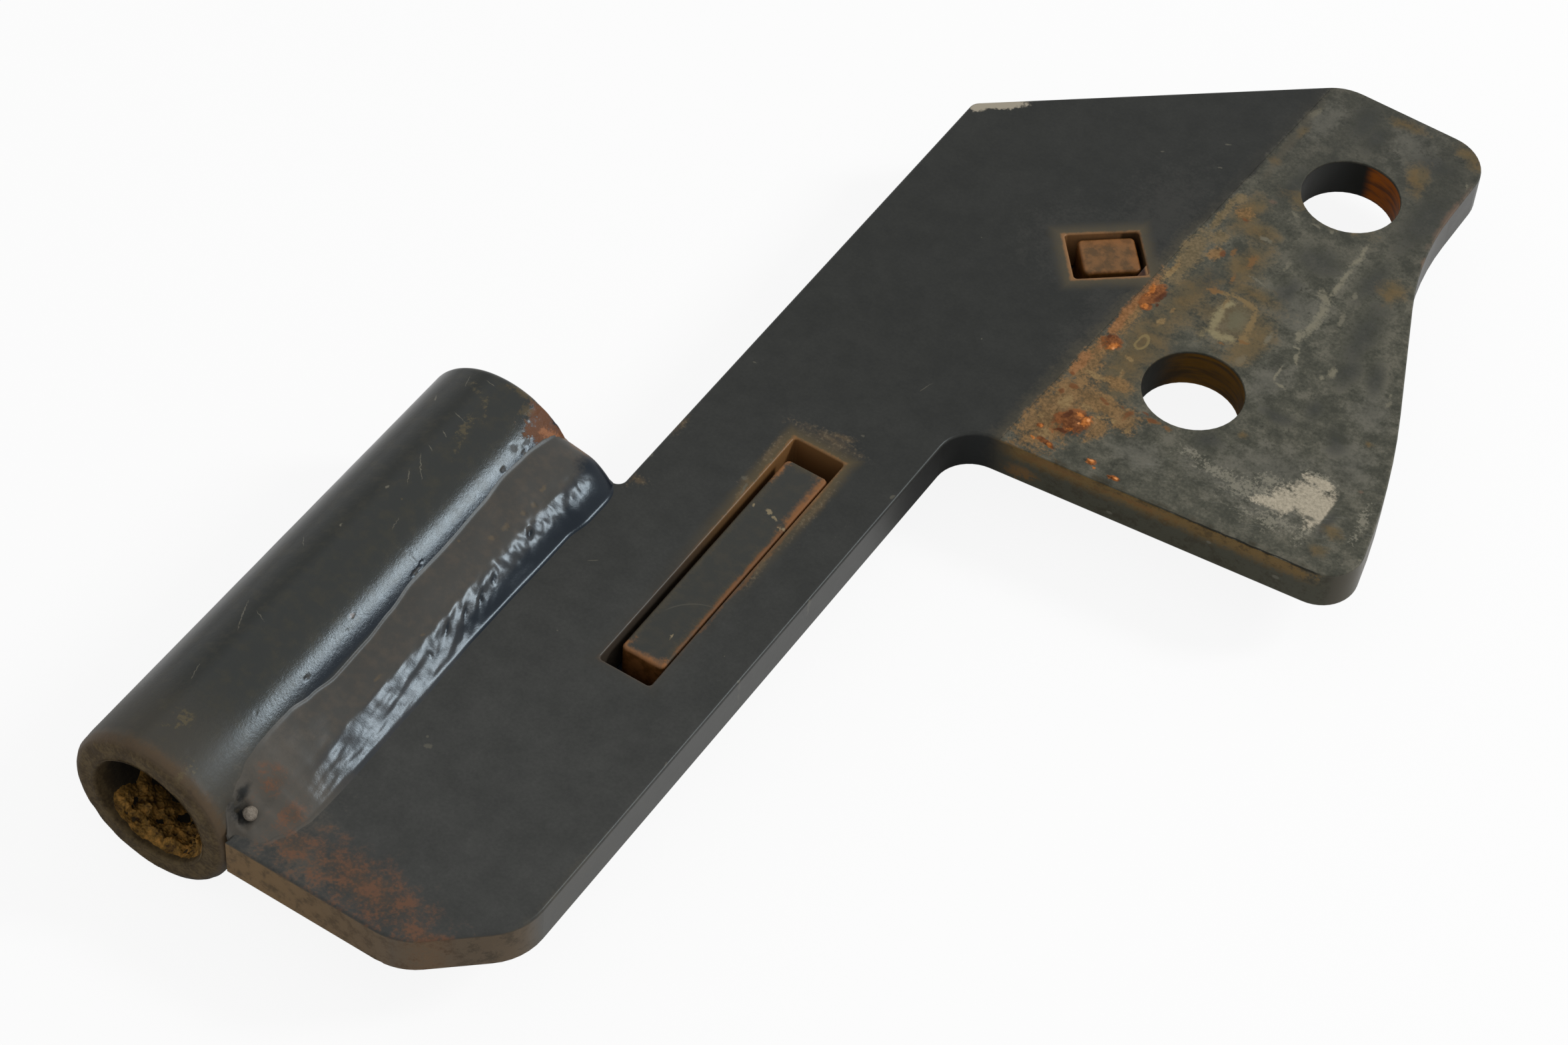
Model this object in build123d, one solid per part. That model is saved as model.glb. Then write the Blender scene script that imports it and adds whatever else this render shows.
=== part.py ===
from build123d import *
from math import cos, radians, sin, tan
import os

# Door hinge leaf of a utility vehicle: a flat steel plate with an arm and a wide bolting head,
# a barrel tube welded along the arm's left edge, and a bent rib underneath whose two tabs plug
# into slots in the plate. Millimetres. The origin is on the barrel's axis at half its length,
# +Y runs along the axis from the open near end towards the bolting head, +X runs from the
# barrel across the arm, and +Z comes out of the face that is bolted against the vehicle.

# Stock and barrel
PLATE_T = 6.0
EDGE_ROUND = 0.4
TUBE_OD = 22.0
TUBE_WALL = 3.5
TUBE_LEN = 70.0
NEAR_RIM_ROUND = 1.6
FAR_RIM_ROUND = 0.8
BORE_MOUTH_ROUND = 0.5

# Arm, seen from above. The lug is the edge that the barrel lies along.
LUG_LEN = 69.2
LUG_STEP = 6.2
LUG_CORNER_R = 1.2
ARM_WIDTH = 28.2
TOE_CUT_WIDTH = 10.7
TOE_CUT_LENGTH = 9.5
TOE_R = 8.0

# Bolting head: its left edge slants up from the shoulder, its right edge flares into the wing
SHOULDER_Y = 116.4
SHOULDER_R = 1.6
SLANT_DEG = 40.0
CROWN_R = 7.0
HEAD_END_Y = 148.8
HEAD_RIGHT_X = 78.3
HEAD_R = 6.0
FLARE_DEG = 23.0
FLARE_START_Y = 126.4
FLARE_R = 44.0
BELLY_Y = 90.0
BELLY_DEG = 11.6
BELLY_R = 120.0
WING_TIP_R = 5.0
WING_EDGE_DEG = 5.6
WING_ROOT_Y = 67.4
WING_ROOT_R = 5.0

# Zone of the head that is clamped against the vehicle: its paint film is worn away
PAINT_T = 0.06
PAD_FROM_RIGHT = 23.9
PAD_EDGE_DEG = 2.7

# Bolt holes, in line along the barrel's direction
BOLT_HOLE_D = 13.0
BOLT_SPACING = 41.7
BOLT_FROM_RIGHT = 12.3
BOLT_FROM_END = 17.9

# Rib slots and tabs
CUT_CORNER_R = 0.5
CUT_EDGE_ROUND = 0.25
ARM_SLOT_LEN = 42.1
ARM_SLOT_WIDTH = 7.2
ARM_SLOT_FROM_RIGHT = 11.7
ARM_SLOT_Y = 32.4
HEAD_SLOT_LEN = 9.7
HEAD_SLOT_WIDTH = 7.7
HEAD_SLOT_FROM_SLANT = 28.5
HEAD_SLOT_ALONG = 13.0
RIB_T = 6.0
ARM_TAB_END_GAP = 3.1
ARM_TAB_SIDE_GAP = 0.25
ARM_TAB_RECESS = 0.3
HEAD_TAB_END_GAP = 1.1
HEAD_TAB_SHIFT = 0.5
HEAD_TAB_SIDE_GAP = 0.4
HEAD_TAB_RECESS = 0.6
TAB_CORNER_R = 0.7
TAB_EDGE_ROUND = 0.4

# Rib under the plate
RIB_BEND_R = 9.0
RIB_PAST_ARM_SLOT = 15.0
RIB_PAST_HEAD_SLOT = 8.0
RIB_END_R = 2.5

# Weld beads. Each barrel bead station gives the way along the bead, as a share of the lug's
# length from its far end, how far the toe climbs round the tube from the plate's plane, in
# degrees, and the toe's reach over the plate, as a share of the bead's full reach. The first
# station hangs over the lug's end.
BEAD_REACH = 6.0
BEAD_CROWN = 1.0
BEAD_KNEE = 0.45
BEAD_ROOT_DEPTH = 1.6
BEAD_INSIDE = 0.8
BEAD_STATIONS = (
    (-0.007, 22.0, 0.70),
    (0.003, 29.0, 0.95),
    (0.026, 37.5, 1.0),
    (0.065, 44.5, 0.92),
    (0.20, 46.5, 0.90),
    (0.35, 42.0, 0.85),
    (0.49, 41.5, 0.95),
    (0.61, 36.8, 0.95),
    (0.73, 41.0, 1.0),
    (0.845, 42.5, 0.97),
    (0.89, 35.0, 0.60),
    (0.92, 24.0, 0.20),
)
RIB_BEAD_R = 4.0
RIB_BEAD_LEN = 20.0
RIB_BEAD_END_LEN = 8.0

HALF_T = PLATE_T / 2
TUBE_R = TUBE_OD / 2
ARM_LEFT_X = TUBE_R + LUG_STEP
ARM_RIGHT_X = ARM_LEFT_X + ARM_WIDTH
RIB_DEPTH = TUBE_R - HALF_T


def slant_direction():
    """The direction of the head's slanting edge, which the head slot and the rib follow."""
    return Vector(cos(radians(SLANT_DEG)), sin(radians(SLANT_DEG)))


def slant_normal():
    """Square to the slanting edge, pointing out of the head."""
    return Vector(-sin(radians(SLANT_DEG)), cos(radians(SLANT_DEG)))


def arm_slot_centre():
    return Vector(ARM_RIGHT_X - ARM_SLOT_FROM_RIGHT, ARM_SLOT_Y)


def head_slot_centre():
    shoulder = Vector(ARM_LEFT_X, SHOULDER_Y)
    return shoulder + slant_direction() * HEAD_SLOT_ALONG - slant_normal() * HEAD_SLOT_FROM_SLANT


def arm_tab_centre():
    """The tab stands close to the slot's right side and leaves the slack on the left."""
    slack = (ARM_SLOT_WIDTH - RIB_T) / 2
    return arm_slot_centre() + Vector(slack - ARM_TAB_SIDE_GAP, 0)


def head_tab_centre():
    """The tab stands close to the slot's far side and nearer to its right end."""
    slack = (HEAD_SLOT_WIDTH - RIB_T) / 2
    beside = slant_normal() * (slack - HEAD_TAB_SIDE_GAP)
    return head_slot_centre() + beside + slant_direction() * HEAD_TAB_SHIFT


def right_edge_corners():
    """The corners of the head's flared right edge, from the head's end down to the wing."""
    flare = tan(radians(FLARE_DEG))
    belly_x = HEAD_RIGHT_X + (FLARE_START_Y - BELLY_Y) * flare
    belly = tan(radians(BELLY_DEG))
    rise = tan(radians(WING_EDGE_DEG))
    # where the belly's line from (belly_x, BELLY_Y) meets the wing's lower edge
    drop = (BELLY_Y - WING_ROOT_Y - (belly_x - ARM_RIGHT_X) * rise) / (1 + belly * rise)
    return (
        (HEAD_RIGHT_X, FLARE_START_Y, FLARE_R),
        (belly_x, BELLY_Y, BELLY_R),
        (belly_x + drop * belly, BELLY_Y - drop, WING_TIP_R),
    )


def plate_corners():
    """The plate's outline as x, y and corner radius, clockwise from the barrel's near end."""
    near_y = -LUG_LEN / 2
    crown_x = ARM_LEFT_X + (HEAD_END_Y - SHOULDER_Y) / tan(radians(SLANT_DEG))
    return (
        (TUBE_R, near_y, 0),
        (TUBE_R, -near_y, 0),
        (ARM_LEFT_X, -near_y, LUG_CORNER_R),
        (ARM_LEFT_X, SHOULDER_Y, SHOULDER_R),
        (crown_x, HEAD_END_Y, CROWN_R),
        (HEAD_RIGHT_X, HEAD_END_Y, HEAD_R),
        *right_edge_corners(),
        (ARM_RIGHT_X, WING_ROOT_Y, WING_ROOT_R),
        (ARM_RIGHT_X, near_y + TOE_CUT_LENGTH, TOE_R),
        (ARM_RIGHT_X - TOE_CUT_WIDTH, near_y, TOE_R),
    )


def outline_face(corners):
    """A flat face from corners of x, y and radius."""
    points = [(x, y) for x, y, radius in corners]
    radii = [radius for x, y, radius in corners]
    return make_face(FilletPolyline(*points, radius=radii, close=True))


def plate_openings():
    """The two bolt holes and the two rib slots, as flat faces."""
    hole = Circle(BOLT_HOLE_D / 2)
    hole_x = HEAD_RIGHT_X - BOLT_FROM_RIGHT
    far_y = HEAD_END_Y - BOLT_FROM_END
    arm_slot = RectangleRounded(ARM_SLOT_WIDTH, ARM_SLOT_LEN, CUT_CORNER_R)
    head_slot = RectangleRounded(HEAD_SLOT_LEN, HEAD_SLOT_WIDTH, CUT_CORNER_R)
    return [
        Pos(hole_x, far_y) * hole,
        Pos(hole_x, far_y - BOLT_SPACING) * hole,
        Pos(arm_slot_centre()) * arm_slot,
        Pos(head_slot_centre()) * Rot(0, 0, SLANT_DEG) * head_slot,
    ]


def face_edges(part, direction):
    """The outer and the inner edges of the part's top (+1) or bottom (-1) face."""
    face = part.faces().sort_by(Axis.Z)[-1 if direction > 0 else 0]
    inner = [edge for wire in face.inner_wires() for edge in wire.edges()]
    return list(face.outer_wire().edges()), inner


def worn_film():
    """The paint that is gone from the head's face, right of the pad's slightly tilted edge."""
    reach = HEAD_END_Y
    film = Box(reach, 2 * reach, PLATE_T, align=(Align.MIN, Align.CENTER, Align.MIN))
    top_of_pad_edge = Pos(HEAD_RIGHT_X - PAD_FROM_RIGHT, HEAD_END_Y, HALF_T - PAINT_T)
    return top_of_pad_edge * Rot(0, 0, -PAD_EDGE_DEG) * film


def hinge_plate():
    plate = extrude(outline_face(plate_corners()), HALF_T, both=True)
    for opening in plate_openings():
        plate -= extrude(opening, PLATE_T, both=True)
    for direction in (1, -1):
        outer, inner = face_edges(plate, direction)
        plate = fillet(outer, EDGE_ROUND)
        outer, inner = face_edges(plate, direction)
        plate = fillet(inner, CUT_EDGE_ROUND)
    return plate - worn_film()


def pivot_tube():
    """The barrel, turned from its half section about the bore's axis."""
    inner = TUBE_R - TUBE_WALL
    half = TUBE_LEN / 2
    corners = (
        (inner, -half, BORE_MOUTH_ROUND),
        (TUBE_R, -half, NEAR_RIM_ROUND),
        (TUBE_R, half, FAR_RIM_ROUND),
        (inner, half, BORE_MOUTH_ROUND),
    )
    return revolve(outline_face(corners), Axis.Y, 360)


def rib_path():
    """The rib's centre line: along the arm, then bent to run beside the slanting edge."""
    start = arm_tab_centre() - Vector(0, ARM_SLOT_LEN / 2 + RIB_PAST_ARM_SLOT)
    tab = head_tab_centre()
    end = tab + slant_direction() * (HEAD_SLOT_LEN / 2 + RIB_PAST_HEAD_SLOT)
    corner = Vector(start.X, tab.Y - (tab.X - start.X) * tan(radians(SLANT_DEG)))
    level = -HALF_T - RIB_DEPTH / 2
    return FilletPolyline(*[(p.X, p.Y, level) for p in (start, corner, end)], radius=RIB_BEND_R)


def rounded_tab(length, width, height):
    """An upright tab with eased corners, standing on the XY plane."""
    tab = extrude(RectangleRounded(length, width, TAB_CORNER_R), height)
    return fillet(tab.faces().sort_by(Axis.Z)[-1].edges(), TAB_EDGE_ROUND)


def stiffener_rib():
    path = rib_path()
    section_plane = Plane(origin=path @ 0, x_dir=(1, 0, 0), z_dir=path % 0)
    rib = sweep(section_plane * Rectangle(RIB_T, RIB_DEPTH), path=path)
    ends = rib.faces().filter_by(GeomType.PLANE).sort_by(Axis.Y)
    low_edges = [face.edges().sort_by(Axis.Z)[0] for face in (ends[0], ends[-1])]
    rib = fillet(low_edges, RIB_END_R)
    arm_tab_len = ARM_SLOT_LEN - 2 * ARM_TAB_END_GAP
    head_tab_len = HEAD_SLOT_LEN - 2 * HEAD_TAB_END_GAP
    arm_tab = rounded_tab(RIB_T, arm_tab_len, PLATE_T - ARM_TAB_RECESS)
    head_tab = rounded_tab(head_tab_len, RIB_T, PLATE_T - HEAD_TAB_RECESS)
    rib += Pos(arm_tab_centre() - Vector(0, 0, HALF_T)) * arm_tab
    rib += Pos(head_tab_centre() - Vector(0, 0, HALF_T)) * Rot(0, 0, SLANT_DEG) * head_tab
    return rib


def bead_section(along, climb, reach):
    """A closed section of the barrel bead, square to the barrel, sunk into both neighbours.
    Its skin is flattish from the tube to a knee, and then falls to the plate."""
    toe = Vector(cos(radians(climb)), sin(radians(climb)))
    on_tube = toe * TUBE_R
    in_tube = toe * (TUBE_R - BEAD_INSIDE)
    on_plate = Vector(TUBE_R + reach * BEAD_REACH, HALF_T)
    in_plate = on_plate - Vector(0, BEAD_INSIDE)
    root = Vector(TUBE_R - BEAD_INSIDE, HALF_T - BEAD_ROOT_DEPTH)
    chord = on_plate - on_tube
    knee = on_tube + chord * BEAD_KNEE + Vector(-chord.Y, chord.X).normalized() * BEAD_CROWN
    skin = Spline(on_tube, knee, on_plate)
    inside = Polyline(on_plate, in_plate, root, in_tube, on_tube)
    station = Plane(origin=(0, LUG_LEN * (0.5 - along), 0), x_dir=(1, 0, 0), z_dir=(0, -1, 0))
    return station * make_face(skin + inside)


def barrel_weld(plate, tube, side):
    """The bead in the groove between barrel and plate, above (+1) or below (-1)."""
    bead = loft([bead_section(*station) for station in BEAD_STATIONS])
    if side < 0:
        bead = mirror(bead, about=Plane.XY)
    return bead - plate - tube


def rib_bead(corner, direction, length):
    """A fillet bead under the plate: the lower half of a round-ended stick on the corner line."""
    stick = Rot(90, 0, 0) * Cylinder(RIB_BEAD_R, length)
    half = Vector(0, length / 2)
    stick += Pos(half) * Sphere(RIB_BEAD_R) + Pos(-half) * Sphere(RIB_BEAD_R)
    stick = split(stick, bisect_by=Plane.XY, keep=Keep.BOTTOM)
    turn = Vector(0, 1).get_signed_angle(direction, Vector(0, 0, 1))
    return Pos(corner - Vector(0, 0, HALF_T)) * Rot(0, 0, turn) * stick


def rib_weld(rib, side):
    """The stitches on the rib's right (+1) or left (-1) side: at both ends of the arm tab and
    beside the head tab."""
    arm_side = arm_tab_centre() + Vector(side * RIB_T / 2, 0)
    arm_end = Vector(0, ARM_SLOT_LEN / 2)
    head_side = head_tab_centre() - slant_normal() * (side * RIB_T / 2)
    stitches = (
        rib_bead(arm_side + arm_end, Vector(0, 1), RIB_BEAD_LEN),
        rib_bead(arm_side - arm_end, Vector(0, 1), RIB_BEAD_LEN),
        rib_bead(head_side, slant_direction(), RIB_BEAD_END_LEN),
    )
    return Compound([stitch - rib for stitch in stitches])


plate = hinge_plate()
tube = pivot_tube()
rib = stiffener_rib()
parts = {
    "hinge_plate": plate,
    "pivot_tube": tube,
    "stiffener_rib": rib,
    "barrel_weld_top": barrel_weld(plate, tube, 1),
    "barrel_weld_under": barrel_weld(plate, tube, -1),
    "rib_weld_left": rib_weld(rib, -1),
    "rib_weld_right": rib_weld(rib, 1),
}

os.makedirs("parts", exist_ok=True)
for name, solid in parts.items():
    export_step(solid, f"parts/{name}.step")
    box = solid.bounding_box()
    print(name, len(solid.solids()), round(solid.volume, 2), box.min, box.max)
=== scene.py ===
# %% [markdown]
# # A worn door hinge leaf
# The object is one leaf of a utility vehicle's door hinge: a flat steel plate, a barrel tube
# that is welded along its edge, and a rib underneath whose two tabs fill slots in the plate.
# It is painted dark charcoal, and bolting it up and down for years has rubbed one end bare.
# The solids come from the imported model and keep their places. This lesson gives them their
# finishes, and models what a maker can't draw as a plain solid: the rippled weld, the scaly
# rust in the bore and the blisters where the paint ends.

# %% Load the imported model
import math
import bpy
from mathutils import Matrix, Vector, noise


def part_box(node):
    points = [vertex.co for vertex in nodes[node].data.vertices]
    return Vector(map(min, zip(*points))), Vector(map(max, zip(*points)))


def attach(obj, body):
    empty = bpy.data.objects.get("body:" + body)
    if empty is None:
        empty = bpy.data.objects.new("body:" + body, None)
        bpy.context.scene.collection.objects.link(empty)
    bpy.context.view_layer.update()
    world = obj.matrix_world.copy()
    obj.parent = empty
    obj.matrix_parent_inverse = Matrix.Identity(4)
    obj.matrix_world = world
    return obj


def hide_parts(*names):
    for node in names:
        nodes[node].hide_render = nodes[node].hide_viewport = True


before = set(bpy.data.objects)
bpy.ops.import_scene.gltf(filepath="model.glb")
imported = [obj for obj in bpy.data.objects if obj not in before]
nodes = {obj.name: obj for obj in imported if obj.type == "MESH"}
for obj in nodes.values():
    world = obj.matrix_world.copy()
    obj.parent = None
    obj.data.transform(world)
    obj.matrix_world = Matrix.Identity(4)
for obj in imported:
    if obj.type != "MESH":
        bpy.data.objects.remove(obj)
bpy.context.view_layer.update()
print("packed nodes:", ", ".join(sorted(nodes)))

# %% [markdown]
# ## Sizes that the finishes need
# Everything is measured in millimetres on the object, in the model's own frame: X runs across
# the arm, Y along the barrel and Z out of the clamped face. The barrel's and the plate's sizes
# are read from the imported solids, so the finishes follow them.

# %% Named sizes
MM = 0.001
tube_low, tube_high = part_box("pivot_tube")
plate_low, plate_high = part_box("hinge_plate")
TUBE_R = tube_high.x / MM
TUBE_NEAR = tube_low.y / MM
TUBE_FAR = tube_high.y / MM
PLATE_TOP = plate_high.z / MM
HEAD_END = plate_high.y / MM
BORE_R = 7.5
PAD_EDGE_X = 54.4
PAD_EDGE_SLOPE = math.tan(math.radians(2.7))
BOLT_X = 66.0
FAR_BOLT_Y = 130.9
NEAR_BOLT_Y = 89.2
print(f"barrel radius {TUBE_R:.1f} mm, from Y {TUBE_NEAR:.1f} to {TUBE_FAR:.1f} mm")

# %% [markdown]
# ## The camera
# The photograph was taken with a long lens from half a metre, well above the plate and a
# little from the barrel's near end. The viewing direction, the roll and the distance were
# worked out from the ellipses of the bolt holes and the square corners of the slots, so the
# model covers the photograph edge for edge.

# %% Camera
LENS_MM = 98.1
SENSOR_MM = 36
AZIMUTH = math.radians(29.189)
ELEVATION = math.radians(49.8)
ROLL = math.radians(5.094)
DISTANCE = 513.33 * MM
TARGET = Vector((36.4, 41.3, 3.0)) * MM

back = Vector((
    math.sin(AZIMUTH) * math.cos(ELEVATION),
    -math.cos(AZIMUTH) * math.cos(ELEVATION),
    math.sin(ELEVATION),
))
level_right = Vector((math.cos(AZIMUTH), math.sin(AZIMUTH), 0))
level_up = back.cross(level_right)
right = level_right * math.cos(ROLL) + level_up * math.sin(ROLL)
up = level_up * math.cos(ROLL) - level_right * math.sin(ROLL)

lens = bpy.data.cameras.new("camera")
lens.lens = LENS_MM
lens.sensor_width = SENSOR_MM
lens.clip_start = 0.01
camera = bpy.data.objects.new("camera", lens)
bpy.context.collection.objects.link(camera)
turn = Matrix((right, up, back)).transposed().to_4x4()
camera.matrix_world = Matrix.Translation(TARGET + back * DISTANCE) @ turn
bpy.context.scene.camera = camera
print("camera at", [round(c, 3) for c in camera.location])

# %% [markdown]
# ## Shader maths in plain Python
# A worn surface is a stack of masks: where the paint is gone, where rust sits, where a
# scratch runs. Drawn as nodes by hand that is a web of hundreds of boxes. Here a small class
# wraps a socket, so that a mask can be written as a sum or a product, and the Math nodes are
# added by the expression itself.

# %% Values that write their own Math nodes
class Value:
    """One socket in a finish. Arithmetic on it adds Math nodes."""

    def __init__(self, finish, socket):
        self.finish = finish
        self.socket = socket

    def __add__(self, other):
        return self.finish.maths("ADD", self, other)

    def __sub__(self, other):
        return self.finish.maths("SUBTRACT", self, other)

    def __rsub__(self, other):
        return self.finish.maths("SUBTRACT", other, self)

    def __mul__(self, other):
        return self.finish.maths("MULTIPLY", self, other)

    def __or__(self, other):
        return self.finish.maths("MAXIMUM", self, other)

    __radd__ = __add__
    __rmul__ = __mul__


# %% [markdown]
# ## A finish
# Every finish is one Principled shader with a bump. The class below makes any node from its
# type, its settings and its inputs, and on top of that gives the few patterns that the whole
# object is painted with: noise of a size in millimetres, a soft step, and marks. Positions
# come from Object coordinates, so each mark stays at its place.

# %% The finish class
class Finish:
    """A material whose patterns are placed in millimetres."""

    def __init__(self, name, specular=0.5, tint=(1, 1, 1)):
        self.material = bpy.data.materials.new(name)
        self.material.use_nodes = True
        self.tree = self.material.node_tree
        self.shader = self.tree.nodes["Principled BSDF"]
        self.shader.inputs["Specular IOR Level"].default_value = specular
        self.shader.inputs["Specular Tint"].default_value = (*tint, 1)
        metres = self.node("ShaderNodeTexCoord", {}, out="Object")
        self.place = self.vector("SCALE", metres, sockets={"Scale": 1 / MM})

    def node(self, kind, settings, *values, sockets=None, out=0):
        made = self.tree.nodes.new(kind)
        stops = settings.pop("stops", None)
        for name, setting in settings.items():
            setattr(made, name, setting)
        if stops:
            self.set_stops(made.color_ramp, stops)
        wanted = dict(enumerate(values))
        wanted.update(sockets or {})
        for key, value in wanted.items():
            self.feed(made.inputs[key], value)
        return Value(self, made.outputs[out])

    def set_stops(self, ramp, stops):
        while len(ramp.elements) < len(stops):
            ramp.elements.new(1.0)
        for element, (position, colour) in zip(ramp.elements, stops):
            element.position = position
            element.color = (*colour, 1)

    def feed(self, socket, value):
        if isinstance(value, Value):
            self.tree.links.new(value.socket, socket)
        elif isinstance(value, (tuple, Vector)) and socket.type == "RGBA":
            socket.default_value = (*value, 1)
        else:
            socket.default_value = value

    def vector(self, operation, *values, sockets=None, out=0):
        settings = {"operation": operation}
        return self.node("ShaderNodeVectorMath", settings, *values, sockets=sockets, out=out)

    def axes(self, place=None):
        """The three coordinates of the shaded point, in millimetres."""
        place = place or self.place
        return [self.node("ShaderNodeSeparateXYZ", {}, place, out=i) for i in range(3)]

    def pair(self, u, v):
        """Two coordinates as a place for marks; the third is 1, so that a dot product shifts."""
        return self.node("ShaderNodeCombineXYZ", {}, u, v, 1.0)

    def local(self, place, at, size, turn=0):
        """A place as seen from a mark: its centre, its half sizes and its turn in degrees."""
        cos, sin = math.cos(math.radians(turn)), math.sin(math.radians(turn))
        seen_from = []
        for way, half in (((cos, sin), size[0]), ((-sin, cos), size[1])):
            shift = at[0] * way[0] + at[1] * way[1]
            row = (way[0] / half, way[1] / half, -shift / half)
            seen_from.append(self.vector("DOT_PRODUCT", place, row, out="Value"))
        return seen_from

    def noise(self, size, detail=4.0, rough=0.55, shift=0.0, stretch=(1, 1, 1), turn=0, on=None):
        """Cloudy noise about 0.5, its lumps about size millimetres wide."""
        lump = tuple(size * s for s in stretch)
        start, turned = (shift, shift * 0.7, shift * 1.3), (0, 0, math.radians(turn))
        settings = {"vector_type": "TEXTURE"}
        spot = self.node("ShaderNodeMapping", settings, on or self.place, start, turned, lump)
        sockets = {"Vector": spot, "Scale": 1.0, "Detail": detail, "Roughness": rough}
        return self.node("ShaderNodeTexNoise", {}, sockets=sockets, out="Fac")

    def step(self, value, low, high):
        """0 below low, 1 above high, and smooth between them."""
        settings = {"interpolation_type": "SMOOTHSTEP"}
        return self.node("ShaderNodeMapRange", settings, value, low, high, 0, 1)

    def blend(self, mask, first, second, mode="MIX"):
        """The first colour where the mask is 0 and the second where it is 1."""
        settings = {"data_type": "RGBA", "blend_type": mode}
        return self.node("ShaderNodeMix", settings, mask, sockets={6: first, 7: second}, out=2)

    def ramp(self, value, *stops):
        return self.node("ShaderNodeValToRGB", {"stops": stops}, value)

    def marks(self, place, *wanted):
        """1 in the middle of a mark, 0 on its outline and less outside. Each mark is its
        centre, its half sizes and, where it is turned, its turn in degrees."""
        nearest = None
        for at_u, at_v, half_u, half_v, *turn in wanted:
            u, v = self.local(place, (at_u, at_v), (half_u, half_v), *turn)
            far = self.maths("MULTIPLY_ADD", u, u, v * v)
            nearest = far if nearest is None else self.maths("MINIMUM", nearest, far)
        return 1 - self.maths("SQRT", nearest)

    def maths(self, operation, *values):
        return self.node("ShaderNodeMath", {"operation": operation}, *values)

    def mottle(self, value, low, high, first, second):
        """Two tones, each a triple of display values, that change over where a value rises."""
        return self.blend(self.step(value, low, high), seen(*first), seen(*second))

    def daub(self, place, colour, tone, strength, low, high, fray, *marks):
        """A tone laid over the colour inside marks whose outlines are frayed."""
        mask = self.step(self.marks(place, *marks) + fray, low, high)
        return self.blend(mask * strength, colour, tone)

    def box_distance(self, place, at, half, turn=0):
        """How far a point lies outside a turned rectangle, in millimetres."""
        u, v = self.local(place, at, (1, 1), turn)
        return (self.maths("ABSOLUTE", u) - half[0]) | (self.maths("ABSOLUTE", v) - half[1])

    def finish(self, colour, roughness, height):
        """Feeds the shader: colour, roughness, and a height in millimetres for the bump."""
        self.feed(self.shader.inputs["Base Color"], colour)
        self.feed(self.shader.inputs["Roughness"], roughness)
        sockets = {"Strength": 1.0, "Distance": MM, "Height": height}
        bump = self.node("ShaderNodeBump", {}, sockets=sockets)
        self.feed(self.shader.inputs["Normal"], bump)
        print(f"{self.material.name}: {len(self.tree.nodes)} nodes")
        return self.material


# %% [markdown]
# ## Colours
# Colours are picked as they look on the object. A gloss coat adds a thin veil of the
# white surroundings on top of the pigment, so a colour that is picked from the object has
# that veil taken off before it goes into the shader.

# %% Picking colours
GLOSS_VEIL = 0.016


def seen(red, green, blue, veil=GLOSS_VEIL):
    """A shader colour for a tone that the eye reads as these display values, 0 to 255."""
    linear = []
    for level in (red, green, blue):
        share = level / 255
        value = share / 12.92 if share < 0.04045 else ((share + 0.055) / 1.055) ** 2.4
        linear.append(max(value - veil, 0.003))
    return tuple(linear)


def tones(*wanted):
    """Shader colours for several tones."""
    return [seen(*tone) for tone in wanted]


PAINT = seen(72, 72, 70)
PAINT_FAR_SHADED = seen(56, 56, 54)
STEEL_DARK = seen(70, 70, 63)
STEEL_MID = seen(85, 84, 75)
STEEL_PALE = seen(105, 102, 91)
OLIVE = (98, 86, 64)
RUST_BROWN = seen(92, 66, 42)
BEIGE = seen(184, 174, 154)
CREAM = seen(172, 163, 146)
BLACK = seen(28, 27, 25)
# The gloss tints are bluish: a painted reflection colour that stands in for bluish daylight in the
# highlights.
PAINT_SKYLIGHT_TINT = (0.86, 0.96, 1.0)
WET_SKYLIGHT_TINT = (0.74, 0.89, 1.0)
print("paint", [round(c, 3) for c in PAINT])

# %% [markdown]
# ## The plate's finish
# Left of the clamped zone the satin paint is sound. It ends along a nearly straight line, the
# edge of the pad that the head was bolted to, and rust has crept under the film there: an
# orange band, a few blisters and a dusty fringe. Right of it the plate is mottled steel with
# rests of primer. Noise alone looks the same everywhere, so the marks that tell this plate
# from another are placed one by one, and noise only frays their edges.

# %% Places on the plate
ARM_SLOT = ((33.7, 32.4), (3.6, 21.05), 0)
HEAD_SLOT = ((45.4, 102.7), (4.85, 3.85), 39.5)
WING_EDGE_AT = (45.4, 67.4)
WING_EDGE_SLOPE = 0.098


def pad_distance(x, y):
    """How far a point lies right of the pad's edge, in millimetres."""
    return x - (PAD_EDGE_X - (HEAD_END - y) * PAD_EDGE_SLOPE)


def wing_distance(x, y):
    """How far a point lies up the head from the wing's near edge, in millimetres."""
    return y - (WING_EDGE_AT[1] - WING_EDGE_AT[0] * WING_EDGE_SLOPE) - x * WING_EDGE_SLOPE


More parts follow.
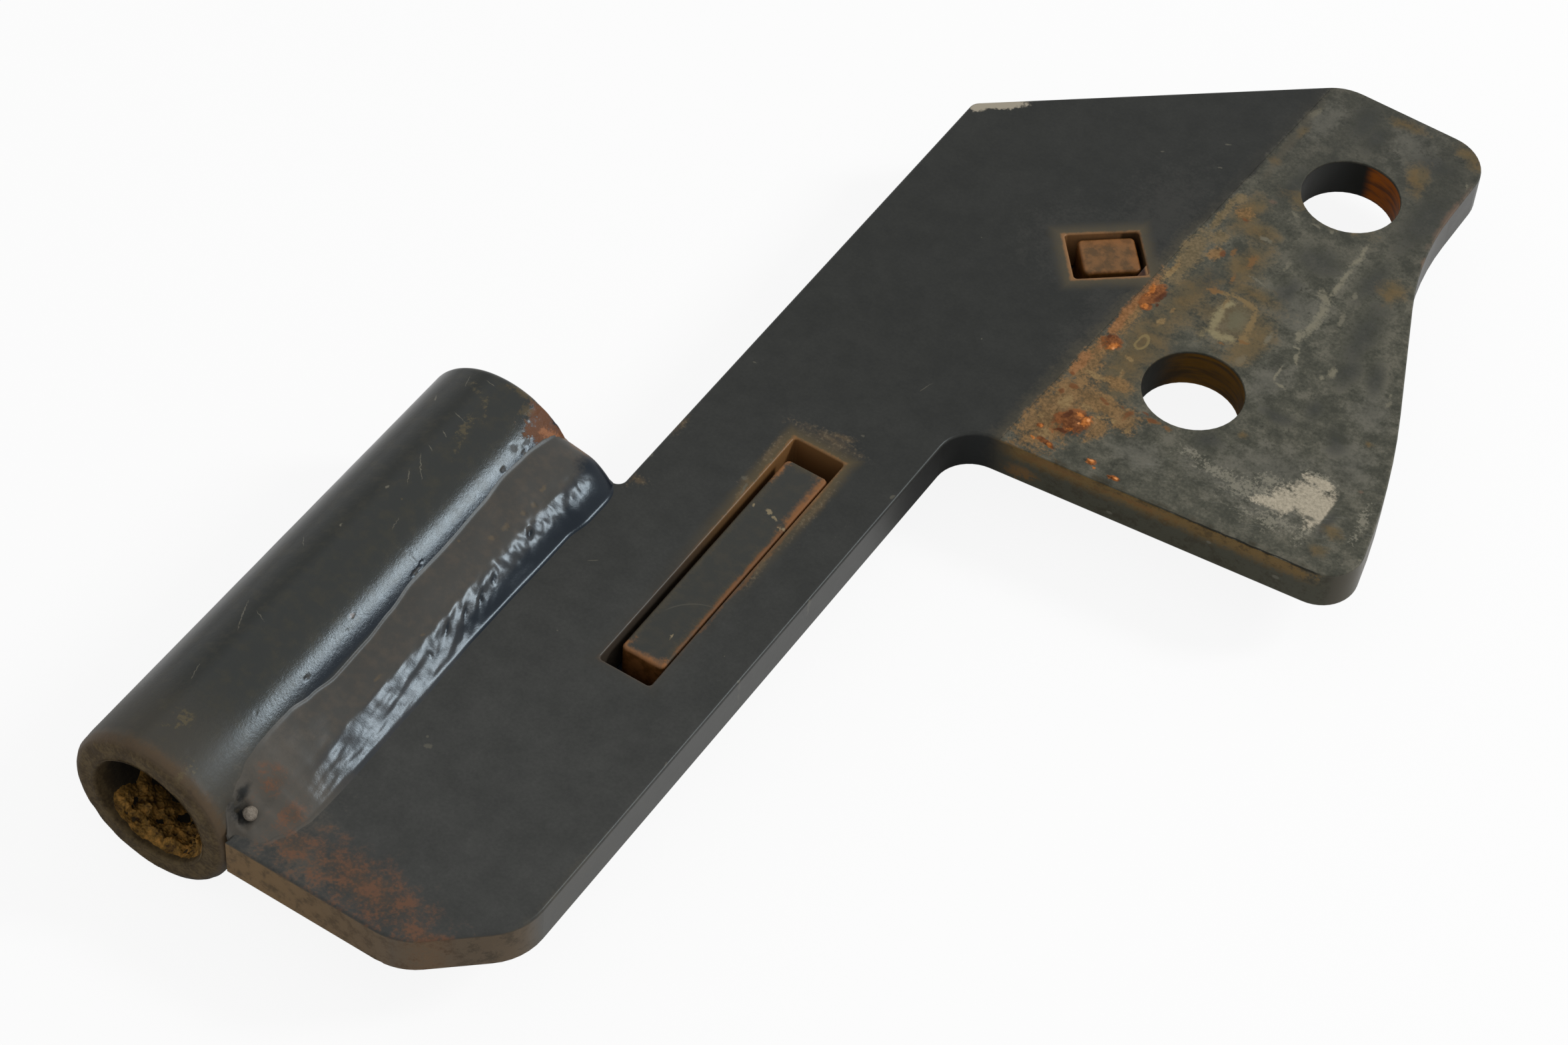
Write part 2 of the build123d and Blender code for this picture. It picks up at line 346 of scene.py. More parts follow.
# %% The worn zone of the head
def worn_steel(f, place, grain, fine, y):
    """Bare steel: grey with dark and pale clouds, rust stains and a fine speckle."""
    blotch = f.noise(2.4, detail=6, rough=0.62, shift=83)
    mixed = blotch * 0.65 + fine * 0.35
    colour = f.ramp(mixed, (0.4, STEEL_DARK), (0.5, STEEL_MID), (0.6, STEEL_PALE))
    # Darker towards the far end of the head: painted shade, as on the paint.
    colour = f.blend(f.step(y, 112, 140) * 0.45, colour, seen(64, 64, 61))
    fray = (blotch - 0.5) * 3.2 + (fine - 0.5) * 1.2
    # pale clouds
    colour = f.daub(
        place, colour, seen(106, 104, 96), 0.5, -0.3, 0.9, fray,
        (88, 90, 4, 4), (81, 84, 8, 4, 20), (69, 143.5, 3.4, 4.5, 20), (56.5, 141, 2, 5),
        (70, 109, 3.6, 5), (80.5, 79, 10, 3.4, 4), (86, 99, 3, 4, 30), (73, 96, 3, 5),
        (66, 76, 4, 3),
    )
    # dark clouds
    colour = f.daub(
        place, colour, seen(62, 63, 61), 0.62, -0.3, 0.9, fray,
        (61, 144.5, 2, 4), (63.6, 142.5, 1.5, 2.6), (72.6, 142.4, 3.2, 2), (76, 133, 2.2, 7),
        (79, 110, 2, 7, 8), (80.4, 103.4, 1.8, 3), (84.4, 92.6, 1.6, 2.4, 30),
        (76.4, 91.6, 2.2, 1.2), (75.6, 119, 1.6, 4), (58.4, 106.5, 2, 3), (68.5, 118, 3.2, 2.6),
        (59, 128, 1.4, 4), (80, 95.4, 1.4, 2), (63, 94, 4, 1.4, 20), (71.6, 83, 2, 2),
        (90, 80, 0.7, 3), (67.4, 111, 1.5, 2.5), (83.6, 104.4, 1, 3, 20),
    )
    # olive and brown stains
    colour = f.daub(
        place, colour, f.mottle(grain, 0.4, 0.6, OLIVE, (110, 92, 64)), 0.75, -0.4, 0.9, fray,
        (57, 90, 3.4, 14, 2), (60.8, 112, 2.4, 5), (59.6, 118, 2.6, 2.4), (78.4, 119, 1.8, 2),
        (75.6, 146.6, 2.6, 1.6, -30), (66, 147, 3, 1), (64, 108, 5, 1.4), (75.1, 86.4, 0.8, 0.6),
        (88.2, 94.3, 0.8, 0.6), (91, 75.4, 1.2, 1), (71.5, 139, 1.6, 3, 30),
        (55.2, 137.6, 0.7, 1.4), (64, 126, 6, 1.6, -4), (57.5, 102, 3, 6), (68, 101, 2, 5),
        (54.8, 131, 1, 0.8), (56.8, 120, 2, 4), (91.4, 79, 1.4, 1),
    )
    # thin reddish runs on the right
    colour = f.daub(
        place, colour, seen(114, 95, 82), 0.6, -0.2, 0.8, fray * 0.6,
        (78.3, 135, 0.7, 6.5, 2), (58.2, 123.9, 0.5, 0.5), (79.4, 127, 0.4, 3, 6),
        (90.9, 86.7, 0.35, 0.3),
    )
    brushed = f.noise(0.35, detail=3, rough=0.7, shift=19, stretch=(9, 1, 1), turn=28)
    worked = f.marks(place, (93, 82, 6, 9), (72, 76, 9, 5), (84, 76, 9, 4))
    worked = f.step(brushed, 0.55, 0.7) * f.step(worked, 0.0, 0.5)
    colour = f.blend(worked * 0.35, colour, seen(122, 121, 113))
    pits = (1 - f.step(grain * 0.5 + fine * 0.5, 0.35, 0.42)) * 0.4
    return f.blend(pits, colour, seen(56, 55, 50))


def primer_rests(f, place, colour, grain, fine, x):
    """Beige and sandy rests that stick to the steel: a patch, a streak, an arch and flakes."""
    fray = (grain - 0.5) * 1.5 + (fine - 0.5) * 1.6
    # pale scuffs round the patch
    colour = f.daub(
        place, colour, seen(134, 130, 116), 0.7, 0.3, 0.9, (fine - 0.5) * 4.4 + (grain - 0.5) * 2,
        (79.6, 79, 5, 2.4, 10), (75.5, 79.2, 5, 1.4), (84, 76.2, 5.4, 1.8, 4),
        (81, 82, 2.6, 1.6, 20), (88.6, 77, 0.9, 3.4), (93.4, 82.6, 1, 3.6, 14), (86, 86, 2.4, 0.8),
        (71, 80, 2, 1),
    )
    cut = 1 - f.step(x, 89.1, 89.45)
    gaps = f.marks(place, (83.8, 77.5, 0.9, 0.9, 20), (88, 79.4, 0.9, 0.5), (85.6, 78.4, 0.4, 0.7))
    patch = f.marks(
        place, (86.4, 82, 3.2, 3.2), (84, 80, 2.6, 2.4, 30), (82, 78.6, 1.9, 1.1, 20),
        (88.4, 81.2, 1.6, 4), (86.4, 85, 2.4, 1.1),
    )
    patch = f.step(patch + fray * 0.7, -0.05, 0.5) * cut
    patch = patch * (1 - f.step(gaps + fray * 0.5, 0.0, 0.5) * 0.8)
    colour = f.blend(patch * 0.9, colour, f.ramp(fine, (0.34, seen(152, 144, 127)), (0.6, BEIGE)))
    # the streak's dull halo, the streak, then stray flakes
    colour = f.daub(
        place, colour, seen(110, 108, 97), 0.5, 0.0, 0.9, fray * 1.6,
        (72.5, 109, 1.7, 5), (72.3, 119, 1, 5),
    )
    colour = f.daub(
        place, colour, seen(130, 125, 108), 0.75, -0.2, 0.8, fray * 1.2,
        (72.1, 123, 0.4, 1.9, 10), (72, 120.7, 0.45, 1.8, -20), (72.4, 118, 0.4, 2.2, 8),
        (72.4, 115.2, 0.4, 2.2, -5), (71.9, 112.7, 0.75, 1.9, 32), (72.6, 110.3, 0.8, 2.4),
        (72.9, 107.6, 0.65, 2.4), (72.4, 105.2, 0.5, 1.2, 20), (74.2, 101.6, 0.28, 1.3, 25),
        (73.2, 103.3, 0.4, 0.18), (73.3, 98, 0.25, 1.6, 10), (74.6, 96.4, 0.9, 0.22),
        (79, 102.2, 0.7, 1.1, 10), (78.1, 100.6, 0.4, 0.4),
    )
    colour = f.daub(
        place, colour, seen(118, 114, 100), 0.7, 0.0, 0.7, fray,
        (65.3, 115, 0.42, 1.3), (74.9, 115.4, 0.5, 0.9), (75.5, 111, 0.6, 1.5, 20),
        (61.8, 123.7, 0.8, 0.35, -20), (64.7, 123.5, 1.1, 0.4), (67.3, 123.7, 0.4, 0.45),
        (77.3, 141.5, 0.4, 0.7, 20), (87, 101.5, 0.4, 0.9), (86.4, 103, 0.3, 0.5),
        (60.6, 117.4, 1.1, 0.6), (63.4, 110.4, 1.9, 0.22, -8), (69.2, 102.5, 0.5, 1.4),
        (68.4, 97.4, 0.7, 1.3), (54.9, 142, 0.5, 1.4), (96.2, 77, 0.3, 0.3),
    )
    # the arch: its ground, its middle, and its sandy and pale rims
    colour = f.daub(
        place, colour, seen(112, 97, 72), 0.55, -0.3, 0.6, fray,
        (64, 102.6, 4.6, 5.2), (68, 99, 2, 3),
    )
    colour = f.daub(
        place, colour, seen(106, 102, 83), 0.75, -0.1, 0.8, fray, (64.8, 102.8, 1.8, 2.6),
    )
    colour = f.daub(
        place, colour, seen(132, 112, 80), 0.75, 0.0, 0.6, fray,
        (60.8, 105.7, 1.9, 0.7, 14), (64.2, 106.2, 2.2, 0.6, -6), (66.3, 103.6, 0.6, 2.6, 12),
        (66.8, 100.4, 0.8, 1), (62.2, 104.4, 0.6, 1.6),
    )
    colour = f.daub(
        place, colour, seen(144, 134, 104), 0.8, -0.2, 0.8, fray,
        (62.3, 101.6, 0.9, 3.4, 6), (63.8, 99.1, 2.3, 0.9, -4), (62.6, 104.6, 0.6, 1.2, -20),
        (65.4, 99.6, 1, 0.6),
    )
    # rusty flakes near the far side of the near hole
    return f.daub(
        place, colour, seen(122, 92, 62), 0.75, 0.0, 0.7, fray,
        (60.2, 105.6, 1.5, 0.8, 20), (60.6, 108.8, 0.35, 1.3, 10), (61.5, 113, 0.6, 1.5),
        (66.9, 100, 1, 0.4, 10), (65.2, 98.2, 0.7, 0.3), (64.5, 81.9, 1.8, 0.4, 8),
        (58.6, 113, 0.5, 1.2), (66.4, 81.7, 0.8, 0.5),
    )


RUST_BLISTERS = (
    ((56.7, 75.7), (2.3, 2.5), 0, 0.42),
    ((53.8, 90.2), (1.5, 1.2), -30, 0.34),
    ((53.8, 100.3), (1.0, 2.5), -8, 0.22),
    ((61.6, 71.6), (0.7, 0.45), 0, 0.22),
    ((65.1, 70.9), (0.6, 0.35), 0, 0.18),
    ((55.6, 70.9), (1.4, 0.5), -15, 0.2),
    ((53.6, 72.9), (0.6, 0.6), 0, 0.14),
    ((61.6, 80.9), (0.6, 0.9), -10, 0.14),
    ((53.8, 81.1), (0.9, 0.45), 0, 0.12),
    ((52.7, 79.4), (0.5, 0.6), 0, 0.12),
    ((54.3, 121.9), (1.0, 1.1), 0, 0.12),
    ((55.9, 114.4), (1.2, 1.4), 0, 0.08),
    ((54.0, 78.2), (0.9, 1.4), 0, 0.10),
    ((52.2, 95.0), (0.5, 3.0), 2, 0.08),
)


def rust_creep(f, place, colour, grain, fine):
    """Rust along the paint's edge and in blisters, from tan through orange to dark red."""
    fray = (grain - 0.5) * 1.5 + (fine - 0.5) * 1.6
    specks = f.step(fine * 0.6 + grain * 0.4, 0.4, 0.6)
    tan = f.blend(specks, *tones((106, 85, 59), (142, 112, 77)))
    # tan ground along the paint's edge
    colour = f.daub(
        place, colour, tan, 0.85, -0.25, 0.45, fray,
        (53.6, 76, 3.6, 9), (57.4, 80.3, 5.6, 2), (52.9, 86, 1.8, 5), (61.5, 79.8, 1.9, 2.3),
        (52.9, 97, 1.4, 8, 2), (57.6, 84.5, 2.2, 1.2), (59.2, 76.5, 1.6, 2.4),
        (56.6, 111.6, 0.9, 1.2), (56.4, 119.8, 1.3, 1.4),
    )
    # paler dust farther up the edge
    dusty = f.blend(specks, *tones((104, 92, 70), (126, 110, 84)))
    colour = f.daub(
        place, colour, dusty, 0.85, -0.1, 0.5, fray * 0.8,
        (54.2, 109, 1.7, 7, 1), (53.9, 118, 0.8, 5), (55.9, 114.4, 1.3, 1.5), (54.3, 122, 1, 1.2),
    )
    colour = f.daub(
        place, colour, seen(92, 87, 76), 0.5, -0.2, 0.8, fray, (54.8, 136, 0.9, 13, 2.6),
    )
    # sandy spots
    sandy = f.blend(specks, *tones((124, 100, 70), (146, 124, 88)))
    colour = f.daub(
        place, colour, sandy, 0.75, 0.0, 0.6, fray,
        (54, 78.3, 1, 1.5), (56.5, 79, 0.9, 0.5), (52.5, 74.4, 0.5, 0.9), (58.9, 78.6, 0.9, 0.5),
        (57.2, 97, 0.55, 0.9), (57.3, 86.4, 0.5, 0.7), (56.9, 89.2, 0.9, 0.4),
        (55, 84.2, 2.4, 0.5), (62.4, 78.6, 0.6, 1.1), (54.6, 72.2, 0.9, 0.9),
        (57.2, 99.4, 0.5, 0.9), (60.4, 78.9, 0.9, 0.4, 10), (53.6, 106, 0.6, 2.4),
    )
    ring = f.marks(place, (56.7, 92.5, 0.85, 1.7)) + fray * 0.2
    ring = f.step(ring, 0.0, 0.12) * (1 - f.step(ring, 0.3, 0.5))
    colour = f.blend(ring * 0.8, colour, seen(132, 116, 82))
    # the orange band
    orange = f.blend(specks, *tones((124, 88, 58), (152, 110, 76)))
    colour = f.daub(
        place, colour, orange, 0.85, 0.0, 0.5, fray * 0.8,
        (52.5, 95.5, 1.1, 10.5, 2.6), (53, 101, 0.9, 3, 8), (52.2, 85, 0.9, 3),
    )
    # red-brown specks
    colour = f.daub(
        place, colour, seen(108, 68, 46), 0.7, 0.0, 0.6, fray,
        (53.8, 81.1, 0.9, 0.4), (52.7, 79.4, 0.5, 0.6), (57.6, 81.3, 0.8, 0.35),
        (61.6, 80.9, 0.5, 1, -10), (64.4, 81.9, 0.9, 0.3, 8), (52.4, 82.8, 0.4, 0.4),
        (58.4, 81, 0.4, 0.3), (57.4, 112, 0.4, 0.8, 20), (56.8, 118.8, 0.8, 0.5),
        (54.6, 75.2, 0.6, 1.4), (63, 82.3, 0.7, 0.3), (60.2, 81.4, 0.6, 0.25),
    )
    # the blisters: base, glowing side, dark side and bright tips
    base = f.blend(specks, *tones((98, 62, 42), (136, 88, 56)))
    colour = f.daub(
        place, colour, base, 0.95, -0.05, 0.25, fray * 0.55,
        (56.7, 75.7, 2.3, 2.5), (53.8, 90.2, 1.6, 1.3, -30), (53.9, 100.3, 1.1, 2.7, -8),
        (55.5, 70.9, 1.5, 0.45, -15), (53.6, 72.9, 0.55, 0.55), (54.1, 98.1, 0.9, 0.8),
        (61.6, 71.6, 0.8, 0.5), (65.1, 70.9, 0.7, 0.4),
    )
    hot = f.blend(specks, *tones((158, 94, 48), (194, 122, 66)))
    colour = f.daub(
        place, colour, hot, 0.9, 0.0, 0.5, fray * 0.8,
        (57.7, 76.5, 0.9, 1.3), (56.6, 77.3, 0.6, 0.4), (54.4, 89.7, 0.6, 0.8, -20),
        (53, 101, 0.45, 1.4, 8), (54.1, 98.1, 0.5, 0.5), (61.5, 71.6, 0.6, 0.35),
        (62.5, 70.9, 0.35, 0.25), (65.1, 70.9, 0.5, 0.28), (56, 70.7, 0.6, 0.3),
        (53.7, 72.9, 0.35, 0.35), (56.9, 74.2, 0.6, 0.3), (53.7, 70.8, 0.5, 0.25),
    )
    colour = f.daub(
        place, colour, seen(78, 50, 38), 0.85, 0.0, 0.5, fray * 0.8,
        (54.7, 100.5, 0.55, 1.5, -12), (55.3, 76.4, 0.45, 1.1), (52.8, 90.7, 0.4, 0.7),
        (56.2, 73.7, 0.9, 0.3), (55, 99, 0.35, 0.6),
    )
    return f.daub(
        place, colour, seen(226, 158, 104), 0.85, 0.1, 0.8, fray,
        (57.9, 77, 0.35, 0.5, 20), (57.2, 75.7, 0.3, 0.35), (61.5, 71.7, 0.35, 0.2),
        (65.2, 70.9, 0.3, 0.15), (54.6, 89.3, 0.25, 0.3),
    )


# %% The near end, shared by plate, weld and barrel
def near_end(f, x, y, colour, grain, fine):
    """Dust and thin rust that lie alike over plate, weld and barrel where the weld fades out;
    painted shade in the spatter's crevice.
    """
    place = f.pair(x + (grain - 0.5) * 1.6, y + (fine - 0.5) * 1.6)
    fray = (grain - 0.5) * 2.6 + (fine - 0.5) * 1.8
    # dust
    colour = f.daub(
        place, colour, seen(92, 87, 80), 0.75, -0.4, 0.9, fray,
        (14.5, -28.5, 4.6, 6, -14), (19, -31.5, 6, 2.6, -12), (11, -26, 2.6, 6.5),
    )
    rust = f.mottle(fine * 0.5 + grain * 0.5, 0.42, 0.6, (88, 73, 61), (116, 83, 64))
    # thin rust
    colour = f.daub(
        place, colour, rust, 0.75, -0.3, 1.0, fray,
        (27, -30.6, 11, 3.8, -4), (17.6, -30.6, 3.4, 2.8), (37, -32.2, 6, 1.8, 6),
        (15.4, -27.6, 1.5, 2.2), (11.6, -26, 1.7, 1.5),
    )
    # the crevice by the spatter, darkened with painted shade
    return f.daub(
        place, colour, seen(36, 36, 34), 0.85, -0.2, 0.8, fray * 0.3,
        (10.5, -31.3, 1.7, 1.3, 20), (9.8, -29.6, 0.6, 1.6),
    )


# %% The painted part and the walls
def paint_marks(f, place, colour, grain, fine, arm_slot, head_slot, inside, y, z):
    """Dust, rust halos, chips and scratches on the sound paint."""
    ragged = (grain - 0.5) * 1.6 + (fine - 0.5) * 1.6
    haze = f.marks(place, (48, 112, 5, 11, 2), (50, 93, 2.6, 9, 2), (41, 102, 6, 6))
    colour = f.blend(f.step(haze + ragged * 1.5, -0.4, 1.0) * 0.6, colour, seen(67, 66, 63))
    fringe = f.step(inside + ragged * 0.8, -2.2, 0.6) * (1 - f.step(y, 108, 124) * 0.8)
    colour = f.blend(fringe * 0.6, colour, seen(88, 82, 68))
    halo = (1 - f.step(head_slot + ragged * 0.7, 0.0, 2.4)) * 0.75
    colour = f.blend(halo, colour, seen(92, 84, 68))
    rim = 1 - f.step(head_slot + ragged * 0.25, 0.05, 0.5)
    colour = f.blend(rim * 0.8, colour, seen(146, 108, 74))
    far_part = f.step(y + ragged * 6, 24, 50)
    halo = (1 - f.step(arm_slot + ragged * 0.7, 0.0, 2.2)) * (far_part * 0.75 + 0.05)
    colour = f.blend(halo, colour, seen(*OLIVE))
    rim = (1 - f.step(arm_slot + ragged * 0.5, 0.0, 0.5)) * (far_part * 0.8 + 0.1)
    colour = f.blend(rim, colour, seen(132, 98, 66))
    tan = f.marks(
        place, (33.8, 55.6, 3.6, 1), (35, 57, 1.4, 0.4, 10), (29.2, 44.2, 0.7, 0.5),
        (29.6, 42, 0.35, 1.6, 10), (17.6, 47.2, 0.5, 1.6), (17.5, 36.2, 0.5, 1),
        (30.7, 26.7, 0.4, 0.4), (18.3, 36.6, 1.1, 0.6), (38, 34, 0.4, 3), (38.2, 45, 0.5, 4.5),
        (29, 50.5, 0.6, 3.5),
    )
    colour = f.blend(f.step(tan + ragged * 1.4, -0.5, 1.3) * 0.55, colour, seen(112, 95, 72))
    dots = f.step(fine, 0.54, 0.64) * f.step(tan + ragged, -0.9, 0.6)
    colour = f.blend(dots * 0.3, colour, seen(126, 116, 97))
    line = f.marks(place, (37.5, 34, 0.36, 17.5), (37.9, 36, 0.4, 1.4))
    colour = f.blend(f.step(line + ragged * 1.1, -0.1, 0.9) * 0.6, colour, seen(114, 84, 58))
    pale = f.marks(
        place, (28.7, 44.3, 0.6, 0.4), (29.6, 43, 0.2, 1.4, 14),
        (45.15, 52.5, 0.2, 0.5), (45.1, 33, 0.15, 0.4), (45.1, 3, 0.15, 0.5),
        (45.2, 18, 0.15, 0.3), (48.7, 129.7, 0.4, 0.2, 20), (42.2, 123.5, 0.4, 0.16, 40),
        (49.6, 125.3, 0.3, 0.16), (21, 23, 0.9, 0.12, 40), (21.7, -10.5, 0.5, 0.5),
        (20.6, -9.5, 0.3, 0.25), (40.4, 81, 0.15, 0.15), (36.5, 58.6, 0.25, 0.25),
        (19.6, 61, 0.2, 0.2), (17.3, 40.8, 0.4, 0.5), (24, 12, 0.14, 0.14), (41.8, 20, 0.12, 0.12),
        (38.9, 70, 1.2, 0.08, 70), (31, 96, 0.15, 0.15),
    )
    colour = f.blend(f.step(pale + ragged * 0.5, 0.0, 0.6) * 0.55, colour, STEEL_PALE)
    scratch = f.marks(place, (42.7, 47, 0.08, 9.2, 3.5))
    colour = f.blend(f.step(scratch + ragged * 1.8, 0.6, 1.6) * 0.35, colour, STEEL_PALE)
    cream = f.marks(place, (20.6, 118.5, 4, 1.1, 39), (18.4, 116.4, 1.6, 1.2, 39))
    cream = f.step(cream + ragged * 0.6, 0.05, 0.4) * f.step(z + ragged * 0.4, 1.6, 2.6)
    return f.blend(cream * 0.85, colour, CREAM)


def wall_marks(f, x, y, z, colour, grain, fine):
    """What shows on the plate's edges: rust under the wing's rim and round the near end, painted
    light on the arm's right wall and painted shade in the inner corner.
    """
    edge = wing_distance(x, y)
    wing = (1 - f.step(edge, 0.5, 1.2)) * f.step(x, 49, 54)
    ragged = (grain - 0.5) * 1.6 + (fine - 0.5) * 1.4
    olive = seen(74, 73, 62)
    colour = f.blend(wing * (1 - f.step(z, 2.5, 2.8)) * 0.8, colour, olive)
    stripe = f.step(z + ragged * 1.6, 0.0, 1.9)
    stripe = stripe * wing * (1 - f.step(x + ragged * 6, 90, 94)) * (1 - f.step(z, 2.75, 2.9))
    colour = f.blend(stripe * 0.85, colour, seen(118, 94, 56))
    below = 1 - f.step(z, 2.5, 2.85)
    # Painted light: the arm's right wall is painted lighter towards the near end, where it catches
    # the window and the table's light.
    arm_wall_light = f.step(x, 44.8, 45.2) * below * (1 - f.step(y, 44, 54))
    colour = f.blend(arm_wall_light * 0.5, colour, seen(88, 88, 86))
    # Painted shade: the walls in the inner corner, where the arm turns into the wing, are painted
    # dark.
    inner_corner_shade = below * f.step(y, 50, 57) * (1 - f.step(x, 48, 54)) * f.step(x, 44.8, 45.2)
    colour = f.blend(inner_corner_shade * 0.7, colour, seen(36, 36, 33))
    near_corner = (1 - f.step(y + x * -0.9, -66, -62)) * f.step(x, 26, 30)
    near = (1 - f.step(y, -34.5, -33.9)) | near_corner
    near = near * below
    colour = f.blend(near * (f.step(x, 14, 40) * -0.5 + 0.96), colour, seen(124, 100, 70))
    grime = f.step(grain * 0.6 + fine * 0.4, 0.46, 0.62) * (near | wing)
    colour = f.blend(grime * 0.55, colour, seen(56, 50, 40))
    hot = f.marks(f.pair(x, z + ragged), (58, 2.2, 6, 0.8), (70, 2, 7, 0.5), (54, -1, 3, 1.6))
    colour = f.blend(f.step(hot + ragged * 1.2, 0.0, 0.8) * wing * 0.7, colour, seen(118, 88, 54))
    pale = f.marks(f.pair(x, z), (88, -0.5, 0.6, 0.35), (66, -1.6, 0.5, 0.3), (79, 0.6, 0.4, 0.3))
    return f.blend(f.step(pale + ragged * 0.4, 0.0, 0.5) * wing * 0.7, colour, STEEL_PALE)


HOLE_REACH = (46, 48)  # where a bolt hole's wall ends, as a squared radius


def hole_walls(f, x, y, z, colour, grain):
    """Rust inside the bolt holes: one side orange in the far hole, brown rings in the near."""
    below = 1 - f.step(z, 2.5, 2.75)
    across = (x - BOLT_X) * (x - BOLT_X)
    for centre, rust, shade in (
        (FAR_BOLT_Y, seen(160, 92, 40), f.step(x, 64.8, 66.4)),
        (NEAR_BOLT_Y, seen(112, 82, 42), f.step(x, 59.5, 62.5)),
    ):
        up_hole = y - centre
        wall = (1 - f.step(across + up_hole * up_hole, *HOLE_REACH)) * below
        rings = f.noise(0.7, detail=3, stretch=(9, 9, 1), shift=centre)
        colour = f.blend(wall, colour, seen(52, 52, 50))
        streaks = shade * (f.step(rings, 0.35, 0.6) * 0.6 + 0.35)
        colour = f.blend(wall * streaks, colour, rust)
    return colour


# %% Plate finish
def plate_finish():
    f = Finish("plate_paint", specular=0.16, tint=PAINT_SKYLIGHT_TINT)
    x, y, z = f.axes()
    grain = f.noise(1.8, detail=4, rough=0.6, shift=31)
    fine = f.noise(0.45, detail=4, rough=0.7, shift=41)
    sway = f.noise(5.0, detail=2, shift=71)
    push = (sway - 0.5) * 1.6 + (grain - 0.5) * 0.9
    place = f.pair(x + push, y + (grain - 0.5) * 1.2)
    inside = pad_distance(x + (sway - 0.5) * 1.8 + (grain - 0.5) * 1.0 + (fine - 0.5) * 0.9, y)
    flat = f.pair(x, y)
    arm_slot = f.box_distance(flat, *ARM_SLOT)
    head_slot = f.box_distance(flat, *HEAD_SLOT)
    top = f.step(z, 2.55, 2.85)
    worn = f.step(inside, -0.35, 0.45) * top
    # The paint darkens towards the far end: painted shade for the light that falls off there.
    colour = f.blend(f.step(y, -40, 90), PAINT, PAINT_FAR_SHADED)
    colour = f.blend(0.3, colour, f.ramp(fine, (0.3, (0.3,) * 3), (0.7, (0.7,) * 3)), "SOFT_LIGHT")
    smudge = f.ramp(sway * 0.6 + grain * 0.4, (0.38, (0.36,) * 3), (0.64, (0.68,) * 3))
    colour = f.blend(0.4, colour, smudge, "SOFT_LIGHT")
    sound = colour
    colour = paint_marks(f, place, colour, grain, fine, arm_slot, head_slot, inside, y, z)
    colour = near_end(f, x, y, colour, grain, fine)
    bare = worn_steel(f, place, grain, fine, y)
    bare = primer_rests(f, place, bare, grain, fine, x)
    bare = rust_creep(f, place, bare, grain, fine)
    colour = f.blend(worn, colour, bare)
    colour = wall_marks(f, x, y, z, colour, grain, fine)
    edge = wing_distance(x, y)
    crack = f.marks(f.pair(edge + (grain - 0.5) * 0.5, 0.0), (0.14, 0, 0.1, 1))
    crack = f.step(crack, 0.0, 0.6) * f.step(x, 64, 82) * (1 - f.step(x, 92, 94)) * top
    colour = f.blend(crack * 0.75, colour, BLACK)
    colour = hole_walls(f, x, y, z, colour, grain)
    colour = f.blend(f.step(z, -2.98, -2.9), sound, colour)
    in_slot = (1 - f.step(arm_slot | (y * -100), -0.6, 0.1)) | (1 - f.step(head_slot, -0.3, 0.1))
    in_slot = in_slot * (1 - f.step(z, 2.85, 2.97))
    slot_rust = f.mottle(grain, 0.4, 0.6, (48, 34, 24), (74, 51, 34))
    left_wall = f.step(y + (grain - 0.5) * 6, 42, 50)
    slot_rust = f.blend((1 - left_wall) * 0.85, slot_rust, seen(34, 32, 27))
    colour = f.blend(in_slot * 0.95, colour, slot_rust)
    rough = 0.33 + worn * 0.34 + (grain - 0.5) * 0.1
    skin = f.noise(0.5, detail=2, shift=51) * 0.006
    scale = (grain * 0.06 + fine * 0.035) * worn
    return f.finish(colour, rough, skin + scale - crack * 0.1)


# %% [markdown]
# ## The barrel's finish
# Round the barrel a place is given by how far it lies along it and by the arc from the plate's
# plane, both in millimetres. Paint has worn thin at the near rim and rusted away at the far
# corner beside the weld, and dull scuffs and scratches lie on top.

# %% Barrel finish
ARC = TUBE_R * math.radians(1)


def round_barrel(*marks):
    """Marks placed by length along the barrel and degrees round it, as the finish takes them."""
    return [(along, degrees * ARC, *rest) for along, degrees, *rest in marks]


